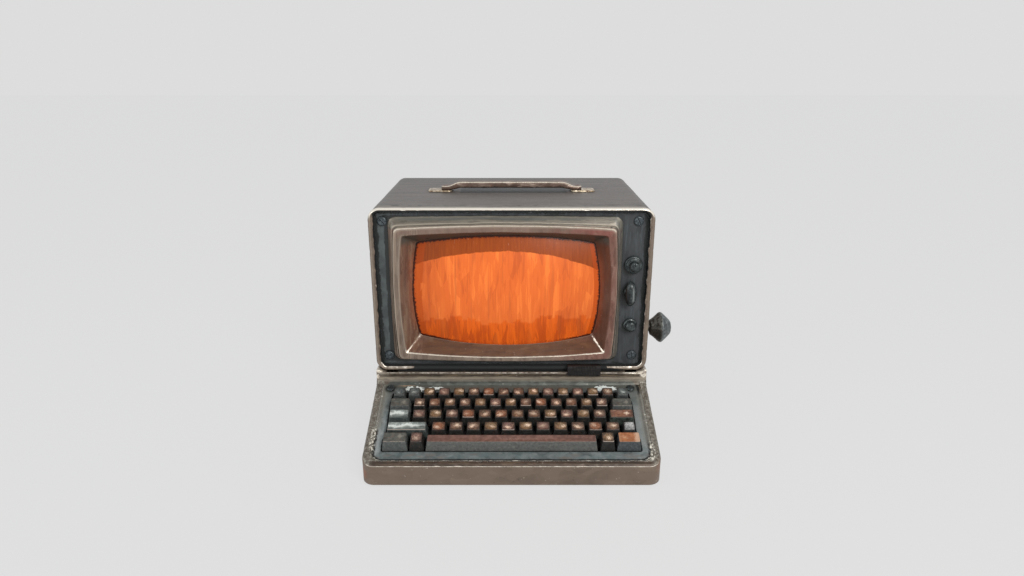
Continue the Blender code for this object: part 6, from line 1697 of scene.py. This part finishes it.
# ================================================================ screws
def screw_head(name, node, centre, stations, axis_y=True, angle=0.0, mat=None, sign=1.0):
    """Slotted head. Stations run from the slot side to the sheet, along y or out of the slope."""
    v, f = revolve(stations, "y", (0.0, 0.0), 36)
    ca, sa = math.cos(angle), math.sin(angle)
    tip = min(s for s, _ in stations) if sign > 0 else max(s for s, _ in stations)
    depth = 1.3
    y0, y1 = sorted((tip - sign * 2.0, tip + sign * depth))
    cv, cf = box_mesh(-0.55, 0.55, y0, y1, -9.0, 9.0)
    cv = [(x * ca - z * sa, y, x * sa + z * ca) for x, y, z in cv]
    if axis_y:
        place = lambda q: (q[0] + centre[0], q[1], q[2] + centre[1])
    else:
        place = lambda q: slope(q[0] + centre[0], q[2] + centre[1], -q[1])
    head = make(name, [place(q) for q in v], f, mat or M_SCREW, stands_for=(node,), slot="knob_metal", sharp=30)
    carve(head, [([place(q) for q in cv], cf)])
    return head


for index, ((x, z), angle) in enumerate(zip(((-149.5, 268.5), (147.0, 268.5), (-149.5, 101.0), (147.0, 101.0)), (0.7, 0.5, -0.9, 0.1)), 1):
    screw_head("panel_screw_head_%d" % index, "panel_screw_%d" % index, (x, z),
               [(5.0, 0.4), (5.0, 2.6), (5.1, 3.8), (5.35, 4.7), (5.8, 5.3), (6.4, 5.7), (7.2, 5.8), (7.7, 5.7), (7.7, 2.2), (22.0, 2.2)], angle=angle)
for index, ((x, s), angle) in enumerate(zip(((-147.0, -13.2), (144.5, -13.2)), (0.4, 1.2)), 1):
    screw_head("deck_screw_head_%d" % index, "deck_screw_%d" % index, (x, s),
               [(-0.3, 0.4), (-0.3, 2.4), (-0.2, 3.5), (0.1, 4.3), (0.6, 4.8), (1.2, 5.0), (1.65, 4.95), (1.7, 2.0), (9.5, 2.0)],
               axis_y=False, angle=angle, mat=M_KNOB)
for index, side in enumerate((-1, 1), 1):
    screw_head("rear_screw_head_%d" % index, "rear_screw_%d" % index, (side * 152.0, 183.0),
               [(203.0, 2.2), (215.8, 2.2), (215.8, 4.9), (216.3, 5.0), (217.0, 4.8), (217.6, 4.3), (218.0, 3.4), (218.2, 2.2), (218.2, 0.4)],
               angle=0.8 * side, sign=-1.0)

# ================================================================ handle
path_xz = [(-89.5, 289.1), (-86.0, 289.1), (-82.5, 289.1), (-80.0, 289.25), (-77.5, 289.8), (-75.0, 290.7), (-72.0, 291.9), (-69.5, 292.9),
           (-67.0, 293.6), (-64.5, 293.88), (-61.0, 293.9)]
path_xz += [(-61.0 + 122.0 * k / 40, 293.9) for k in range(1, 40)]
path_xz += [(-x, z) for x, z in reversed(path_xz[:11])]
path_xz = np.array(path_xz)
tangent = np.gradient(path_xz, axis=0)
tangent /= np.linalg.norm(tangent, axis=1)[:, None]
rows = []
for (x, z), (tx, tz) in zip(path_xz, tangent):
    near = float(step(abs(x), 68.0, 82.0))
    thick = 8.3 * (1 - near) + 5.6 * near
    z = z - 1.0 * (1 - near) - 0.3 * near
    wide = 18.0 - 1.2 * float(step(abs(x), 84.0, 89.5)) ** 2 * 3
    row = []
    for q in range(28):
        a = 2 * math.pi * (q + 0.5) / 28
        c, s = math.cos(a), math.sin(a)
        dy = wide / 2 * math.copysign(abs(c) ** 0.42, c)
        dn = thick / 2 * math.copysign(abs(s) ** 0.62, s)
        row.append((x - tz * dn, 115.0 + dy, z + tx * dn))
    rows.append(row)
strap_v = np.array(rows)
lump = fbm(strap_v.reshape(-1, 3), (14.0, 8.0, 8.0), 3, 15.0).reshape(strap_v.shape[:2])
centre_line = strap_v.mean(1, keepdims=True)
strap_v = centre_line + (strap_v - centre_line) * (1 - 0.035 - 0.03 * np.clip(lump, -0.6, 1.0))[:, :, None]
strap_f = grid_faces(len(rows), 28, wrap_cols=True)
strap_f.append(list(range(28))[::-1])
strap_f.append([(len(rows) - 1) * 28 + q for q in range(28)])
# painted highlight along the strap's top front, painted shade on its underside and along its rear top edge
turn = 2 * math.pi * (np.arange(28) + 0.5) / 28
light = 0.90 * np.exp(-((turn - 2.24) / 0.34) ** 2)
painted_shade = 0.50 * step(turn, 2.95, 3.4) * step(turn, 5.4, 4.6) + 0.34 * np.exp(-((turn - 1.2) / 0.25) ** 2)
parts = [(strap_v.reshape(-1, 3), strap_f, {"wear_and_highlight": np.tile(light, len(rows)), "grime_and_shade": np.tile(painted_shade, len(rows))})]
for side in (-1, 1):
    v, f = revolve([(255.1, 6.5), (258.1, 6.5), (258.1, 3.5), (289.0, 3.5)], "z", (side * 84.5, 115.0), 24)
    parts.append((v, f, {}))
    v, f = revolve([(290.9, 3.1), (291.6, 3.1), (291.9, 2.6), (292.05, 1.6), (292.1, 0.3)], "z", (side * 84.5, 115.0), 24)
    parts.append((v, f, {}))
v, f, a = merge(parts)
make("carrying_handle_strap", v, f, M_HANDLE, body="carrying_handle", stands_for=("carrying_handle",), slot="bright_metal", attrs=a, sharp=40)

for label, side in (("left", -1), ("right", 1)):
    x0, x1 = sorted((side * 76.5, side * 106.5))
    ring, ring_n = rounded_rect(x0, x1, 104.0, 126.0, 4.5, 1.6, 6)
    chew = fbm(np.column_stack([ring, np.zeros(len(ring))]), 5.0, 2, 20.0 + side) * 0.5
    rows = []
    for inset, z in ((0.2, 284.8), (0.0, 285.0), (0.0, 285.7), (0.25, 286.1), (0.8, 286.3)):
        pts = ring - ring_n * (inset + np.clip(chew, 0.0, 0.6))[:, None]
        rows.append(np.column_stack([pts, np.full(len(ring), z)]))
    rows = np.array(rows)
    f = grid_faces(len(rows), len(ring), wrap_cols=True)
    f.append(list(range(len(ring)))[::-1])
    f.append([(len(rows) - 1) * len(ring) + k for k in range(len(ring))])
    studs = []
    for sx, sy in ((98.5, 109.0), (98.5, 121.0)):
        sv, sf = revolve([(286.2, 2.7), (286.8, 2.6), (287.3, 2.0), (287.5, 1.0), (287.5, 0.2)], "z", (side * sx, sy), 20)
        studs.append((sv, sf, {}))
    v, f, a = merge([(rows.reshape(-1, 3), f, {})] + studs)
    plate = make("handle_plate_%s_worn" % label, v, f, M_PLATE, stands_for=("handle_plate_" + label,), slot="bright_metal", sharp=30)
    hv, hf = revolve([(280.0, 3.9), (290.0, 3.9)], "z", (side * 84.5, 115.0), 24)
    carve(plate, [(hv, hf)])

# ================================================================ latch
cols = np.linspace(68.0, 108.0, 81)
section = [(-4.9, 79.6), (-6.4, 79.6), (-7.9, 79.7), (-8.5, 80.1), (-8.6, 80.9), (-8.6, 83.0), (-8.6, 86.0), (-8.6, 89.0), (-8.6, 91.2), (-8.3, 92.2),
           (-7.5, 92.75), (-5.0, 92.8), (-2.0, 92.8), (-0.6, 92.6), (-0.4, 92.0), (-0.4, 88.0), (-0.4, 83.2), (-0.6, 82.9), (-3.0, 82.9), (-4.7, 82.9),
           (-4.9, 82.6), (-4.9, 81.0)]
rows = []
for x in cols:
    inside = step(min(x - 68.0, 108.0 - x), 0.0, 1.2)
    groove = 0.55 * (0.5 + 0.5 * math.cos((x - 88.0) * 2 * math.pi / 3.3)) if abs(x - 88.0) < 14.9 else 0.0
    row = []
    for y, z in section:
        cy, cz = -4.6, 86.4
        k = 0.94 + 0.06 * float(inside)
        py, pz = cy + (y - cy) * k, cz + (z - cz) * k
        if y <= -8.4 and 82.5 < z < 91.5:
            py += groove
        row.append((x, py, pz))
    rows.append(row)
m = len(section)
f = grid_faces(len(rows), m, wrap_cols=True)
f.append(list(range(m))[::-1])
f.append([(len(rows) - 1) * m + k for k in range(m)])
tongue = box_mesh(76.0, 100.0, -3.0, 5.6, 84.4, 86.8)
v, f, a = merge([(np.array(rows).reshape(-1, 3), f, {}), (tongue[0], tongue[1], {})])
make("case_latch_block", v, f, M_LATCH, body="case_latch", stands_for=("case_latch",), slot="knob_metal", sharp=34)

# ================================================================ nodes that stay as they are
FINISHES = {
    "front_panel": M_PANEL, "rear_cover": M_REAR, "base_plate": M_STEEL, "tube_band": M_STEEL,
    "switch_plate": M_DARK_STEEL, "power_transformer": M_STEEL, "data_socket": M_STEEL, "brightness_control": M_STEEL,
    "selector_switch": M_STEEL, "contrast_control": M_STEEL, "side_control": M_STEEL, "deflection_yoke": M_COPPER,
    "main_board": M_BOARD, "keyboard_board": M_BOARD, "neck_board": M_BOARD, "line_transformer": M_PLASTIC,
    "power_inlet": M_INLET, "foot_1": M_RUBBER, "foot_2": M_RUBBER, "foot_3": M_RUBBER, "foot_4": M_RUBBER,
}
SOFTENED = {"front_panel": 0.3, "rear_cover": 0.4, "base_plate": 0.4, "data_socket": 0.4, "power_inlet": 0.5,
            "foot_1": 0.6, "foot_2": 0.6, "foot_3": 0.6, "foot_4": 0.6}
for node, mat in FINISHES.items():
    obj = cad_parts[node]
    obj.data.materials.clear()
    obj.data.materials.append(mat)
    width = SOFTENED.get(node)
    if width:
        mod = obj.modifiers.new("soft_edges", "BEVEL")
        mod.width = width / 1000.0
        mod.segments = 2
        mod.limit_method = "ANGLE"
        mod.angle_limit = math.radians(50)
        mod.harden_normals = True


# ================================================================ floor, light, camera
def backdrop():
    mesh = bpy.data.meshes.new("floor")
    mesh.from_pydata([(-9, -9, 0), (9, -9, 0), (9, 9, 0), (-9, 9, 0)], [], [(0, 1, 2, 3)])
    floor = bpy.data.objects.new("floor", mesh)
    bpy.context.scene.collection.objects.link(floor)
    mat = bpy.data.materials.new("floor_paper")
    mat.use_nodes = True
    shader = mat.node_tree.nodes["Principled BSDF"]
    shader.inputs["Base Color"].default_value = (0.06, 0.06, 0.06, 1)
    shader.inputs["Roughness"].default_value = 0.9
    shader.inputs["Specular IOR Level"].default_value = 0.0
    shader.inputs["Emission Color"].default_value = (1, 1, 1, 1)
    shader.inputs["Emission Strength"].default_value = 0.672
    mesh.materials.append(mat)


backdrop()
world = bpy.data.worlds.new("studio")
bpy.context.scene.world = world
world.use_nodes = True
tree = world.node_tree
tree.nodes.clear()
out = tree.nodes.new("ShaderNodeOutputWorld")
seen = tree.nodes.new("ShaderNodeBackground")
seen.inputs[0].default_value = (0.723, 0.723, 0.723, 1)
given = tree.nodes.new("ShaderNodeBackground")
given.inputs[0].default_value = (0.80, 0.81, 0.83, 1)
given.inputs[1].default_value = 0.80
ray = tree.nodes.new("ShaderNodeLightPath")
choose = tree.nodes.new("ShaderNodeMixShader")
tree.links.new(ray.outputs["Is Camera Ray"], choose.inputs[0])
tree.links.new(given.outputs[0], choose.inputs[1])
tree.links.new(seen.outputs[0], choose.inputs[2])
tree.links.new(choose.outputs[0], out.inputs[0])


def area(name, where, aim, size, power, colour=(1, 1, 1)):
    data = bpy.data.lights.new(name, "AREA")
    data.shape = "RECTANGLE"
    data.size, data.size_y = size
    data.energy = power
    data.color = colour
    lamp = bpy.data.objects.new(name, data)
    bpy.context.scene.collection.objects.link(lamp)
    lamp.location = where
    lamp.rotation_euler = (Vector(aim) - Vector(where)).to_track_quat("-Z", "Y").to_euler()


area("key", (0.7, -1.35, 1.15), (0.0, 0.0, 0.15), (0.6, 0.6), 22.0, (1.0, 0.98, 0.95))
area("left_fill", (-1.3, -0.8, 0.6), (0.0, 0.0, 0.15), (0.8, 0.8), 6.0, (0.97, 0.98, 1.0))

cam_data = bpy.data.cameras.new("camera")
cam_data.sensor_width = 36.0
cam_data.lens = 695.3 / 1024 * 36
cam_data.shift_x = 0.5 / 1024
camera = bpy.data.objects.new("camera", cam_data)
camera.location = (-0.01675, -0.8281, 0.4469)
camera.rotation_euler = (math.radians(71.9), 0, 0)
bpy.context.scene.collection.objects.link(camera)
bpy.context.scene.camera = camera
bpy.context.scene.view_settings.view_transform = "Standard"
